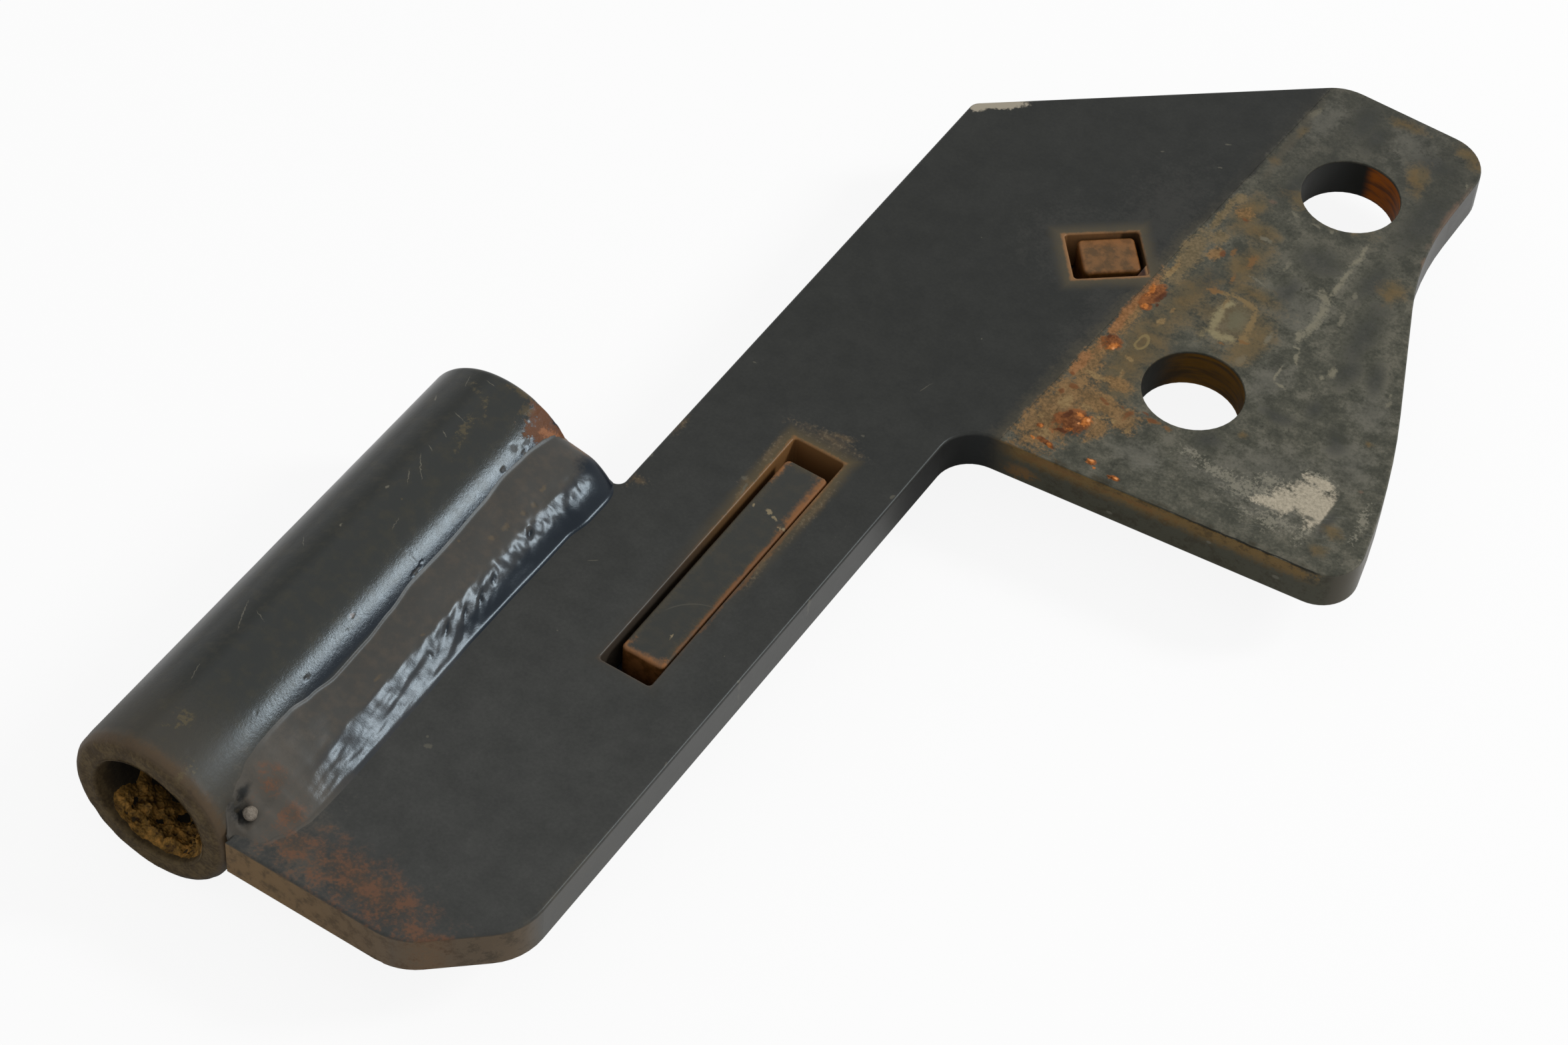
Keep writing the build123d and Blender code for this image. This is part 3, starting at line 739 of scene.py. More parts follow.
def tube_finish():
    f = Finish("tube_paint", specular=0.21, tint=WET_SKYLIGHT_TINT)
    x, y, z = f.axes()
    angle = f.maths("ARCTAN2", z, x)
    arc = angle * TUBE_R
    grain = f.noise(1.8, detail=4, rough=0.6, shift=31)
    fine = f.noise(0.45, detail=4, rough=0.7, shift=41)
    ragged = (grain - 0.5) * 1.8 + (fine - 0.5) * 1.6
    place = f.pair(y + (grain - 0.5) * 0.8, arc + (fine - 0.5) * 0.8)
    edge = f.marks(f.pair(arc + ragged * 0.3, 0.0), (8.7, 0, 1.5, 1))
    # The barrel's upper left side, turned away from the window, is painted darker: painted shade.
    left = f.step(arc, 17.8, 20) * (1 - f.step(arc, 23, 28))
    colour = f.blend(left * 0.8, seen(63, 63, 60), seen(48, 47, 42))
    colour = f.blend(f.step(grain, 0.42, 0.75) * 0.35, colour, seen(78, 73, 60))
    near = (1 - f.step(y + ragged * 1.2, -34.6, -32.2)) * f.step(z, -12, 2)
    # Painted dark reflection: a dark navy band beside the weld's toe, where the glossy barrel
    # mirrors the dark room.
    colour = f.blend(f.step(edge, 0.0, 0.6) * f.step(y, -24, -12) * 0.85, colour, seen(40, 43, 49))
    colour = near_end(f, x, y, colour, grain, fine)
    colour = f.blend(near * 0.6, colour, seen(104, 80, 54))
    dusty = 1 - f.step(y + ragged * 5, -32, -20)
    colour = f.blend(dusty * 0.25, colour, seen(96, 88, 76))
    scuffs = f.marks(place, *round_barrel(
        (25.5, 88, 2.4, 0.9, 10), (27, 91, 1.6, 1.4), (29.5, 86, 2.4, 0.5, 30),
        (-28.5, 90, 2, 2.2), (12, 84, 0.7, 0.7), (-4.2, 56, 0.9, 0.9), (-33, 66, 2, 1.6),
        (31.5, 101, 1.6, 1, 40), (22, 80, 1.6, 0.5, 20),
    ))
    colour = f.blend(f.step(scuffs + ragged * 2.4, 0.5, 1.3) * 0.45, colour, seen(112, 100, 74))
    lines = f.marks(place, *round_barrel(
        (17.5, 90, 2.4, 0.07, 38), (15.5, 91.5, 1.4, 0.06, 30), (20.5, 94, 0.7, 0.06, 60),
        (23.2, 94, 0.7, 0.07, 55), (12.7, 97, 0.35, 0.2), (32.2, 110, 1.3, 0.08, 20),
        (28.5, 122, 0.7, 0.12, 30), (-12, 109, 2.8, 0.09, 25), (-11.5, 98, 1.2, 0.06, 60),
        (9, 76, 1.1, 0.05, 10), (33, 95, 1, 0.06, 80), (26.5, 95, 1.2, 0.05, 70),
        (1, 116, 1.2, 0.06, 40), (-22, 104, 1.6, 0.07, 15), (5, 102, 0.3, 0.2),
    ))
    lines = f.step(lines + (fine - 0.5) * 1.2, 0.0, 0.5)
    colour = f.blend(lines * 0.5, colour, seen(140, 134, 118))
    rust = f.marks(place, *round_barrel(
        (32.6, 48, 2.4, 3.6, 12), (34.2, 32, 1.2, 3.2), (30.8, 40, 1.4, 1.6, 20),
        (34, 58, 1.6, 2.4),
    ))
    creep = f.step(rust + ragged * 1.0, 0.0, 0.45)
    colour = f.blend(creep * 0.9, colour, seen(104, 70, 48))
    hot = f.marks(place, *round_barrel((33, 42, 1.1, 2.4, 15), (31, 39, 1, 0.8)))
    colour = f.blend(f.step(hot + ragged * 1.2, 0.1, 0.6) * creep, colour, seen(144, 98, 68))
    olive = f.marks(place, *round_barrel((32.6, 66, 2, 1.3), (34.4, 76, 0.8, 3)))
    colour = f.blend(f.step(olive + ragged * 1.2, 0.2, 0.7) * 0.6, colour, seen(*OLIVE))
    dot = f.marks(place, *round_barrel((-4.2, 56, 0.5, 0.4)))
    colour = f.blend(f.step(dot + ragged * 0.6, 0, 0.4) * 0.8, colour, RUST_BROWN)
    chips = f.marks(place, *round_barrel(
        (27.6, 55, 0.8, 0.8), (24.6, 50.5, 0.5, 0.45), (29.6, 51.5, 0.7, 0.5),
        (6.3, 46.5, 0.9, 0.35), (-13.8, 50, 0.5, 0.35), (28.4, 49, 0.4, 0.4),
    ))
    chips = f.step(chips + ragged * 0.5, 0.1, 0.5)
    colour = f.blend(chips * 0.7, colour, seen(64, 60, 56))
    radius = f.maths("SQRT", x * x + z * z)
    mouth = (1 - f.step(radius, 8.6, 9.6)) * (1 - f.step(y, -30, -20))
    face = (1 - f.step(y, -34.9, -34.3)) | mouth
    tan = f.mottle(grain * 0.5 + fine * 0.5, 0.4, 0.62, (72, 61, 47), (98, 84, 62))
    colour = f.blend(face, colour, tan)
    bore = (1 - f.step(radius, 7.4, 7.9)) * f.step(y, -35, -31)
    colour = f.blend(bore * 0.95, colour, seen(20, 17, 14))
    worn = f.noise(0.22, detail=3, rough=0.7, shift=61, stretch=(1, 5, 1), turn=12)
    rough = 0.2 + dusty * 0.25 + creep * 0.3 + face * 0.25 + chips * 0.2
    rough = rough + (grain - 0.5) * 0.16 + (worn - 0.5) * 0.12
    height = worn * (1 - face) * 0.006 + fine * 0.019 + ragged * (creep + face * 0.4) * 0.05
    return f.finish(colour, rough, height + near * fine * 0.03)


# %% [markdown]
# ## The welds' and the rib's finish
# The bead was painted over while it still had its glassy skin, so it shines more than the
# plate. Dust has settled in its dimples and near its ends. The rib is painted too, but its
# tabs stand in slots that hold water, so their edges and sides are brown.

# %% Weld finish
# Slanting slashes in the bead: real grooves, painted dark with painted shade in the finish.
SHADED_SLASHES = (
    (14.5, 6.4, 0.26, 1.1, 23), (14.2, 3.2, 0.24, 1, 23), (14.6, 9.4, 0.26, 1.2, 23),
    (14.3, 12.4, 0.3, 1, 10), (13.9, 20.3, 0.34, 0.7), (15.2, 0.2, 0.16, 1.6, 8),
    (15.4, -5.4, 0.14, 1.8, 6),
)


def weld_finish(name, shine):
    f = Finish(name, specular=0.23, tint=WET_SKYLIGHT_TINT)
    x, y, z = f.axes()
    grain = f.noise(1.8, detail=4, rough=0.6, shift=31)
    fine = f.noise(0.45, detail=4, rough=0.7, shift=41)
    ragged = (grain - 0.5) * 1.8 + (fine - 0.5) * 1.6
    place = f.pair(x, y)
    colour = f.blend(f.step(grain, 0.4, 0.7) * 0.5, seen(76, 74, 70), seen(92, 84, 75))
    end = 1 - f.step(y + ragged * 2, -26, -16)
    colour = f.blend(end * 0.5, colour, seen(92, 87, 80))
    colour = near_end(f, x, y, colour, grain, fine)
    spots = f.marks(
        place, (11.6, 18.5, 0.5, 0.9), (12, 21.5, 0.45, 0.5), (11.2, 16.2, 0.4, 0.4),
        (12.2, 23.4, 0.5, 0.5), (11.8, 26, 0.4, 0.8), (12.4, -8, 0.3, 0.8), (12.9, 0.2, 0.3, 0.4),
        (8.6, 13.2, 0.3, 0.3),
    )
    colour = f.blend(f.step(spots + ragged, 0.0, 0.8) * 0.5, colour, seen(106, 93, 74))
    rust = f.marks(place, (11.5, 34.8, 5.5, 1), (17.4, 33.8, 0.8, 1.4))
    colour = f.blend(f.step(rust + ragged * 0.9, 0.0, 0.5) * 0.8, colour, seen(112, 86, 62))
    # Painted dark reflection: the bead's glossy right half is painted dark navy, where it mirrors
    # the dark room.
    fall_dark_reflection = f.step(x + ragged * 0.5, 13.1, 14.0) * f.step(y, -24, -17)
    colour = f.blend(fall_dark_reflection * 0.6, colour, seen(50, 54, 60))
    # Painted dark reflection on the steep side and round the far nose.
    steep_side_shade = f.step(x + ragged * 0.4, 14.5, 15.3) * f.step(y, 0, 7)
    steep_side_shade = steep_side_shade | f.step(y + ragged, 30.0, 32.6) * f.step(x + ragged, 11.6, 13.6)
    colour = f.blend(steep_side_shade * 0.92, colour, seen(38, 41, 46))
    # The slashes' darkness is painted shade.
    slashes = f.marks(place, *SHADED_SLASHES)
    colour = f.blend(f.step(slashes + ragged * 0.3, 0.0, 0.5) * 0.8, colour, seen(40, 42, 46))
    flat = 1 - f.step(x + ragged * 0.4, 12.2, 13.4)
    faded = 1 - f.step(y, -27, -23)
    rough = shine + flat * 0.14 + end * flat * 0.2 + faded * 0.15 + (fine - 0.5) * 0.12
    height = fine * 0.014 + flat * grain * 0.02
    return f.finish(colour, rough, height)


# %% Rib finish
def rib_finish():
    f = Finish("rib_steel", specular=0.18, tint=PAINT_SKYLIGHT_TINT)
    x, y, z = f.axes()
    grain = f.noise(1.6, detail=4, rough=0.6, shift=66)
    fine = f.noise(0.4, detail=4, rough=0.7, shift=26)
    ragged = (grain - 0.5) * 1.6 + (fine - 0.5) * 1.4
    flat = f.pair(x, y)
    arm_tab = f.box_distance(flat, (33.95, 32.3), (3.0, 18.0))
    head_tab = f.box_distance(flat, (45.8, 102.9), (3.75, 3.0), 39.5)
    top = f.step(z, 2.3, 2.6)
    colour = f.blend(f.step(grain, 0.4, 0.7) * 0.4, seen(64, 64, 61), seen(76, 72, 64))
    on_head = f.step(y, 90, 92) * f.step(z, -3.2, -2.8)
    centre = f.mottle(grain * 0.6 + fine * 0.4, 0.4, 0.6, (104, 95, 76), (122, 102, 76))
    colour = f.blend(on_head, colour, centre)
    in_plate = f.step(z, -3.2, -2.8)
    edge = f.step(arm_tab + ragged * 0.8, -1.3, 0.0) * (1 - on_head) * in_plate
    worst = f.marks(f.pair(x, y), (37, 46, 2.2, 6), (34, 14.5, 6, 2), (31, 50, 1, 4))
    colour = f.blend(edge * 0.3, colour, seen(*OLIVE))
    colour = f.blend(edge * f.step(worst + ragged, -0.2, 0.6) * 0.8, colour, seen(150, 104, 68))
    line = f.marks(f.pair(x, y), (36.9, 33, 0.45, 19))
    line = f.step(line + ragged * 0.8, -0.3, 0.7) * in_plate
    colour = f.blend(line * 0.75, colour, seen(128, 88, 58))
    rim = f.step(head_tab + ragged * 0.6, -1.3, 0.0) * on_head
    colour = f.blend(rim * 0.8, colour, seen(156, 112, 74))
    chips = f.marks(
        f.pair(x + (grain - 0.5), y + (fine - 0.5)),
        (33.9, 41.9, 0.8, 0.5, -20), (35, 41.4, 0.9, 0.3, -20),
        (36.7, 40.6, 0.7, 0.5), (31.8, 41.6, 0.25, 0.5), (35.1, 19.2, 0.2, 0.7, 15),
    )
    chips = f.step(chips + ragged * 0.9, 0.2, 0.6) * top
    colour = f.blend(chips * 0.7, colour, seen(150, 136, 108))
    arc = f.marks(f.pair(x, y), (38, 19.6, 6.2, 6.2))
    arc = f.marks(f.pair(arc, 0.0), (0, 0, 0.02, 1))
    arc = f.step(arc, 0, 0.7) * f.step(y, 21.5, 23) * (1 - f.step(y, 25, 26.5)) * top
    colour = f.blend(arc * 0.3, colour, STEEL_PALE)
    sides = (1 - top) * in_plate
    rust = f.mottle(grain, 0.4, 0.6, (88, 60, 38), (120, 82, 52))
    colour = f.blend(sides * 0.9, colour, rust)
    rough = 0.4 + edge * 0.2 + (grain - 0.5) * 0.1
    return f.finish(colour, rough, fine * 0.02 + edge * grain * 0.05)


# %% Grit, spatter and bare rust
def rust_finish(name, dark, mid, pale, size):
    f = Finish(name, specular=0.2)
    grain = f.noise(size, detail=5, rough=0.65, shift=4)
    fine = f.noise(size / 4, detail=4, rough=0.7, shift=14)
    colour = f.ramp(grain * 0.6 + fine * 0.4, (0.38, dark), (0.5, mid), (0.64, pale))
    return f.finish(colour, 0.75 + (fine - 0.5) * 0.2, grain * 0.15 + fine * 0.1)


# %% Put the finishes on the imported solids
def coat(node, material):
    data = nodes[node].data
    data.materials.clear()
    data.materials.append(material)


plate_paint = plate_finish()
tube_paint = tube_finish()
weld_paint = weld_finish("weld_paint", 0.22)
rib_weld_paint = weld_finish("rib_weld_paint", 0.3)
coat("hinge_plate", plate_paint)
coat("pivot_tube", tube_paint)
coat("stiffener_rib", rib_finish())
for weld in ("barrel_weld_top", "barrel_weld_under"):
    coat(weld, weld_paint)
for weld in ("rib_weld_left", "rib_weld_right"):
    coat(weld, rib_weld_paint)

# %% [markdown]
# ## Modelling with a grid
# The weld, the barrel and the rust all start as a flat grid, as one would start a cloth or a
# pipe by hand. Its corners are moved to their places, edges that meet are merged, open ends
# are closed and the faces are turned outward.

# %% A grid that is laid on a form
def lay_grid(name, columns, rows, place):
    """A closed piece from a grid: place(across, along) gives each corner in millimetres."""
    bpy.ops.object.select_all(action="DESELECT")
    bpy.ops.mesh.primitive_grid_add(x_subdivisions=columns, y_subdivisions=rows, size=2)
    piece = bpy.context.object
    piece.name = name
    for corner in piece.data.vertices:
        across, along = (corner.co.x + 1) / 2, (corner.co.y + 1) / 2
        corner.co = Vector(place(across, along)) * MM
    bpy.ops.object.mode_set(mode="EDIT")
    bpy.ops.mesh.select_all(action="SELECT")
    bpy.ops.mesh.remove_doubles(threshold=0.001 * MM)
    bpy.ops.mesh.select_all(action="SELECT")
    bpy.ops.mesh.fill_holes(sides=0)
    bpy.ops.mesh.select_all(action="SELECT")
    bpy.ops.mesh.normals_make_consistent(inside=False)
    bpy.ops.object.mode_set(mode="OBJECT")
    bpy.ops.object.shade_smooth()
    print(f"{name}: {len(piece.data.polygons)} faces")
    return piece


def between(table, at):
    """The row of a table at a place between its rows, which rise in their first value."""
    if at <= table[0][0]:
        return table[0][1:]
    for low, high in zip(table, table[1:]):
        if at <= high[0]:
            share = (at - low[0]) / (high[0] - low[0])
            share = share * share * (3 - 2 * share)
            return [a + (b - a) * share for a, b in zip(low[1:], high[1:])]
    return table[-1][1:]


def smooth(value, low, high):
    share = min(max((value - low) / (high - low), 0), 1)
    return share * share * (3 - 2 * share)


def curve(points, share):
    """A point on the smooth curve that a polygon of points guides."""
    guides = [points[0], points[0], *points, points[-1], points[-1]]
    place = share * (len(guides) - 3)
    first = min(int(place), len(guides) - 4)
    t = place - first
    weights = (
        (1 - t) ** 3 / 6,
        (3 * t**3 - 6 * t**2 + 4) / 6,
        (-3 * t**3 + 3 * t**2 + 3 * t + 1) / 6,
        t**3 / 6,
    )
    return sum((guides[first + i] * w for i, w in enumerate(weights)), Vector((0, 0)))


def cloud(x, y, z=0.0):
    return noise.noise(Vector((x, y, z)))


# %% [markdown]
# ## The barrel weld
# The bead is the liveliest thing on the object. Its left half is a smooth flank that was
# painted matt; past a knee the right half falls steeply to the plate, and there the puddle
# froze in slanting ripples. Sections across the bead follow its measured toes, and the
# ripples are pressed into the skin afterwards.

# %% Bead sections
BEAD_NEAR, BEAD_FAR = -34.0, 35.06
NOSE_FROM = 28.0
NOSE_POWER, NOSE_ROUND = 4.5, 0.22
BEAD_SKIN_SHARE = 0.86
BEAD_FORM = (
    (-34.0, 22.0, 13.4, 12.4, 3.02, 0.0), (-31.5, 29.0, 15.2, 13.6, 3.16, 0.0),
    (-29.0, 35.0, 16.4, 14.8, 3.3, 0.0), (-26.5, 40.0, 16.95, 15.5, 3.62, 0.0),
    (-24.0, 41.8, 17.05, 15.2, 4.1, 0.0), (-21.5, 42.4, 17.1, 14.5, 4.6, 0.0),
    (-18.5, 42.2, 17.1, 13.8, 5.1, 0.0), (-15.0, 39.2, 17.0, 13.5, 5.45, 0.0),
    (-11.0, 36.2, 16.9, 13.5, 5.6, 0.02), (-5.0, 37.0, 16.9, 13.5, 5.65, 0.03),
    (0.0, 39.2, 16.7, 13.4, 5.75, 0.06), (5.0, 42.2, 16.5, 13.3, 5.95, 0.12),
    (11.0, 42.0, 16.5, 13.3, 6.1, 0.18), (19.0, 43.6, 16.6, 13.2, 6.25, 0.22),
    (24.0, 46.0, 16.6, 13.2, 6.4, 0.26), (28.0, 45.0, 17.2, 13.4, 6.4, 0.3),
    (33.0, 42.0, 17.3, 13.6, 6.2, 0.35), (35.06, 40.0, 17.2, 13.6, 6.1, 0.35),
)
GROOVE = Vector((11.2, 2.5))


def on_barrel(degrees, radius):
    turn = math.radians(degrees)
    return Vector((math.cos(turn), math.sin(turn))) * radius


def bead_skin(y):
    """Guides of the visible skin, from the barrel over the knee to the plate."""
    climb, toe_x, knee_x, knee_z, belly = between(BEAD_FORM, y)
    toe = on_barrel(climb, TUBE_R)
    knee = Vector((knee_x, knee_z))
    plate_toe = Vector((toe_x, PLATE_TOP))
    flank = knee - toe
    crown = smooth(y, -31, -20) * 1.6 - 0.6
    fall = plate_toe - knee
    out = Vector((-fall.y, fall.x)).normalized()
    return [
        on_barrel(climb + 4.6, TUBE_R - 0.3),
        on_barrel(climb + 3.2, TUBE_R - 0.03),
        on_barrel(climb + 1.6, TUBE_R + 0.02),
        on_barrel(climb, TUBE_R + 0.03),
        toe + flank * 0.12 + Vector((0.02, 0.08 * crown)),
        toe + flank * 0.4 + Vector((0.0, (0.18 if crown > 0 else 0.9) * crown)),
        knee - flank * 0.22 + Vector((0.0, (0.14 if crown > 0 else 0.6) * crown)),
        knee + Vector((0.03, 0.05 * crown)),
        knee + fall * 0.3 + out * belly,
        knee + fall * 0.62 + out * belly,
        plate_toe - fall * 0.12 + out * belly * 0.4,
        plate_toe + Vector((-0.06, 0.12)),
        plate_toe + Vector((0.3, 0.0)),
        plate_toe + Vector((0.7, -0.2)),
    ]


def bead_inside(y):
    """Guides of the hidden part, sunk into the plate and the barrel."""
    climb, toe_x, *_ = between(BEAD_FORM, y)
    return [
        Vector((toe_x + 0.7, PLATE_TOP - 0.25)),
        Vector((toe_x - 0.5, PLATE_TOP - 0.7)),
        Vector((11.6, PLATE_TOP - 0.9)),
        Vector((10.25, 1.5)),
        on_barrel(climb * 0.4, TUBE_R - 0.7),
        on_barrel(climb * 0.8, TUBE_R - 0.7),
        on_barrel(climb + 4.6, TUBE_R - 0.3),
    ]


# %% Ripples
BEAD_PITS = (
    (13.9, 20.3, 0.36, 0.75, 0.26), (14.3, 12.4, 0.34, 1.0, 0.20), (11.7, 18.6, 0.45, 0.6, 0.10),
    (12.2, 21.6, 0.4, 0.4, 0.10), (11.4, 16.4, 0.4, 0.4, 0.08), (12.3, 23.5, 0.4, 0.5, 0.12),
    (14.5, 6.4, 0.3, 1.2, 0.16), (14.2, 3.2, 0.28, 1.1, 0.15), (14.6, 9.4, 0.3, 1.3, 0.15),
    (14.7, -0.8, 0.3, 0.3, 0.12), (12.9, -5.2, 0.3, 0.4, 0.08), (10.9, -31.0, 1.5, 1.5, 0.7),
)


def ripple(x, y, toe_x):
    """How far the skin stands out at a place on the bead's right half, in millimetres."""
    on_fall = smooth(x, 12.5, 13.6) * (1 - smooth(x, toe_x - 0.9, toe_x - 0.1))
    on_fall *= 1 - 0.85 * smooth(y, 10, 15) * smooth(x, 14.6, 15.4)
    lumps = cloud(x * 0.8, y * 0.75, 3.0) * 0.12 + cloud(x * 1.9, y * 1.6, 8.0) * 0.028
    along, aside = 0.39 * x - 0.92 * y, 0.92 * x + 0.39 * y
    slashes = cloud(aside * 0.95, along * 0.36, 5.0) * 0.16
    slashes += cloud(aside * 2.2, along * 0.8, 9.0) * 0.03
    slant = 0.12 * y + x
    streaks = cloud(slant * 1.25, y * 0.22, 6.0) * 0.085 + cloud(slant * 3.0, y * 0.6, 2.0) * 0.022
    lumpy = smooth(y, 10, 15)
    streaky = 1 - smooth(y, -4, 2)
    made = lumps * lumpy + streaks * streaky + slashes * max(1 - lumpy - streaky, 0)
    made *= on_fall * (1 - smooth(y, 30, 33)) * smooth(y, -27, -20)
    waves = cloud(x * 0.35, y * 0.3, 1.0) * 0.09 + cloud(x * 0.9, y * 0.8, 4.0) * 0.025
    waves *= smooth(x, 8.9, 10.2) * (1 - smooth(x, toe_x - 1.0, toe_x))
    waves *= 0.3 + 0.7 * smooth(y, -30, -22)
    for pit_x, pit_y, half_x, half_y, depth in BEAD_PITS:
        lean = pit_x + (pit_y - y) * 0.4
        far = ((x - lean) / half_x) ** 2 + ((y - pit_y) / half_y) ** 2
        far += 0.5 * cloud(x * 2.0, y * 1.2, 5.0)
        made -= depth * max(0, 1 - max(far, 0)) ** 1.5
    return made + waves


def bead_corner(across, along):
    y = BEAD_NEAR + (BEAD_FAR - BEAD_NEAR) * math.sin(along * math.pi / 2)
    if across < BEAD_SKIN_SHARE:
        guides = bead_skin(y)
        share = across / BEAD_SKIN_SHARE
        spot = curve(guides, share)
        step = curve(guides, min(share + 0.01, 1)) - curve(guides, max(share - 0.01, 0))
        out = Vector((-step.y, step.x)).normalized()
        spot += out * ripple(spot.x, y, guides[-3].x)
    else:
        spot = curve(bead_inside(y), (across - BEAD_SKIN_SHARE) / (1 - BEAD_SKIN_SHARE))
    nose = max((y - NOSE_FROM) / (BEAD_FAR - NOSE_FROM), 0)
    size = (1 - nose**NOSE_POWER) ** NOSE_ROUND if nose < 1 else 0.0
    size *= 0.3 + 0.7 * smooth(y, BEAD_NEAR, BEAD_NEAR + 1.6)
    spot = GROOVE + (spot - GROOVE) * size
    return spot.x, y, spot.y


bead = lay_grid("barrel_bead_top", 96, 430, bead_corner)
bead.data.materials.append(weld_paint)
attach(bead, "root")
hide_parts("barrel_weld_top")

# %% [markdown]
# The underside's bead is the same one, turned over: in Blender a copy that is scaled by minus
# one in Z. Applying that scale turns its faces inside out, so they are turned outward again.

# %% Lower bead
bpy.ops.object.select_all(action="DESELECT")
bead.select_set(True)
bpy.context.view_layer.objects.active = bead
bpy.ops.object.duplicate()
under_bead = bpy.context.object
under_bead.name = "barrel_bead_under"
under_bead.scale.z = -1
bpy.ops.object.transform_apply(location=True, rotation=True, scale=True)
bpy.ops.object.mode_set(mode="EDIT")
bpy.ops.mesh.select_all(action="SELECT")
bpy.ops.mesh.normals_make_consistent(inside=False)
bpy.ops.object.mode_set(mode="OBJECT")
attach(under_bead, "root")
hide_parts("barrel_weld_under")

# %% [markdown]
# ## The barrel
# The tube is turned on a lathe and then used for decades: its skin waves a little, the near
# rim is eaten, and there are a few pits and a gouge beside the weld. A grid is wrapped round
# the tube's section, with more columns where the highlight runs, and each corner is moved in
# by what is missing there.

# %% Barrel skin
NEAR_ROUND, FAR_ROUND, MOUTH_ROUND = 1.6, 0.8, 0.5
TUBE_COLUMNS = 236
HIGHLIGHT_DEGREES = 52
COLUMN_CROWDING = 43
TUBE_PITS = (
    (-14.0, 50.0, 0.55, 0.40, 0.16), (5.9, 46.2, 0.55, 0.35, 0.30), (6.9, 46.6, 0.5, 0.3, 0.22),
    (7.6, 47.8, 0.35, 0.25, 0.14), (24.6, 50.5, 0.5, 0.42, 0.22), (27.7, 55.0, 0.85, 0.8, 0.10),
    (29.2, 51.5, 0.7, 0.5, 0.12), (30.2, 53.0, 0.5, 0.4, 0.10), (28.4, 49.0, 0.4, 0.4, 0.12),
    (-4.3, 56.0, 0.5, 0.4, 0.08), (-6.0, 52.5, 0.5, 0.25, 0.08), (15.5, 44.5, 0.3, 0.2, 0.08),
    (-22.0, 58.0, 0.4, 0.4, 0.05), (31.5, 48.0, 0.9, 0.9, 0.10), (-31.0, 70.0, 0.8, 0.6, 0.08),
)


def arc_points(centre, radius, start, end, count):
    """Points on a round of the section: along the barrel first, out from its axis second."""
    made = []
    for i in range(count + 1):
        turn = math.radians(start + (end - start) * i / count)
        made.append((centre[0] + math.cos(turn) * radius, centre[1] + math.sin(turn) * radius))
    return made


def straight(start, end, count):
    """Points between two corners of the section, without the corners."""
    ways = [finish - begin for begin, finish in zip(start, end)]
    return [
        tuple(begin + way * i / count for begin, way in zip(start, ways)) for i in range(1, count)
    ]


def tube_section():
    """The tube wall's outline, once round from the near rim over the outside."""
    near, far = TUBE_NEAR, TUBE_FAR
    near_rim = arc_points((near + NEAR_ROUND, TUBE_R - NEAR_ROUND), NEAR_ROUND, 180, 90, 12)
    far_rim = arc_points((far - FAR_ROUND, TUBE_R - FAR_ROUND), FAR_ROUND, 90, 0, 6)
    far_mouth = arc_points((far - MOUTH_ROUND, BORE_R + MOUTH_ROUND), MOUTH_ROUND, 0, -90, 4)
    near_mouth = arc_points((near + MOUTH_ROUND, BORE_R + MOUTH_ROUND), MOUTH_ROUND, -90, -180, 6)
    outline = near_rim + straight(near_rim[-1], far_rim[0], 262) + far_rim
    outline += straight(far_rim[-1], far_mouth[0], 4) + far_mouth
    outline += straight(far_mouth[-1], (-15.0, BORE_R), 24)
    outline += straight((-15.0, BORE_R), near_mouth[0], 64) + near_mouth
    outline += straight(near_mouth[-1], near_rim[0], 8)
    return outline + [outline[0]]


TUBE_OUTLINE = tube_section()


def eaten(y, radius, degrees):
    """How much of the tube's skin is gone at a place, in millimetres."""
    arc = degrees * ARC
    turn = math.radians(degrees)
    u, v = math.cos(turn) * radius, math.sin(turn) * radius
    gone = 0.012 + cloud(u * 0.22, v * 0.22, y * 0.2) * 0.012
    rough = (1 - smooth(y, TUBE_NEAR + 0.4, TUBE_NEAR + 3.5)) * 0.9 + 0.02
    gone += (0.5 + 0.5 * cloud(u * 0.9, v * 0.9, y * 0.9)) * 0.13 * rough
    gone += (0.5 + 0.5 * cloud(u * 2.6, v * 2.6, y * 2.6)) * 0.05 * rough
    corner = smooth(y, 29.5, 34) * smooth(degrees, 22, 34) * (1 - smooth(degrees, 60, 70))
    gone += corner * (0.06 + 0.09 * cloud(u * 1.5, v * 1.5, y * 1.5))
    if radius > TUBE_R - 0.5:
        for pit_y, pit_degrees, half_y, half_arc, depth in TUBE_PITS:
            far = ((y - pit_y) / half_y) ** 2 + ((arc - pit_degrees * ARC) / half_arc) ** 2
            if far < 3:
                far += 0.8 * cloud(y * 2.2, arc * 2.2, 6.0)
                gone += depth * 0.36 * max(0, 1 - max(far, 0)) ** 1.5
        line = y - (6.6 + (degrees - 46) * 0.04)
        scratch = max(0, 1 - (line / 0.16) ** 2)
        gone += 0.03 * scratch * smooth(degrees, 46, 48) * (1 - smooth(degrees, 58, 61))
    return gone


def tube_corner(across, along):
    """Across goes round the wall's outline, and along goes round the barrel."""
    y, radius = TUBE_OUTLINE[round(across * (len(TUBE_OUTLINE) - 1))]
    round_share = along - 0.5
    crowd = COLUMN_CROWDING * math.sin(round_share * 2 * math.pi)
    degrees = HIGHLIGHT_DEGREES + 360 * round_share - crowd
    gone = eaten(y, radius, degrees)
    in_wall = radius < BORE_R + 0.4
    radius += gone if in_wall else -gone
    if not in_wall and radius < TUBE_R - 0.6:
        y += gone if y < 0 else -gone
    turn = math.radians(degrees)
    return math.cos(turn) * radius, y, math.sin(turn) * radius


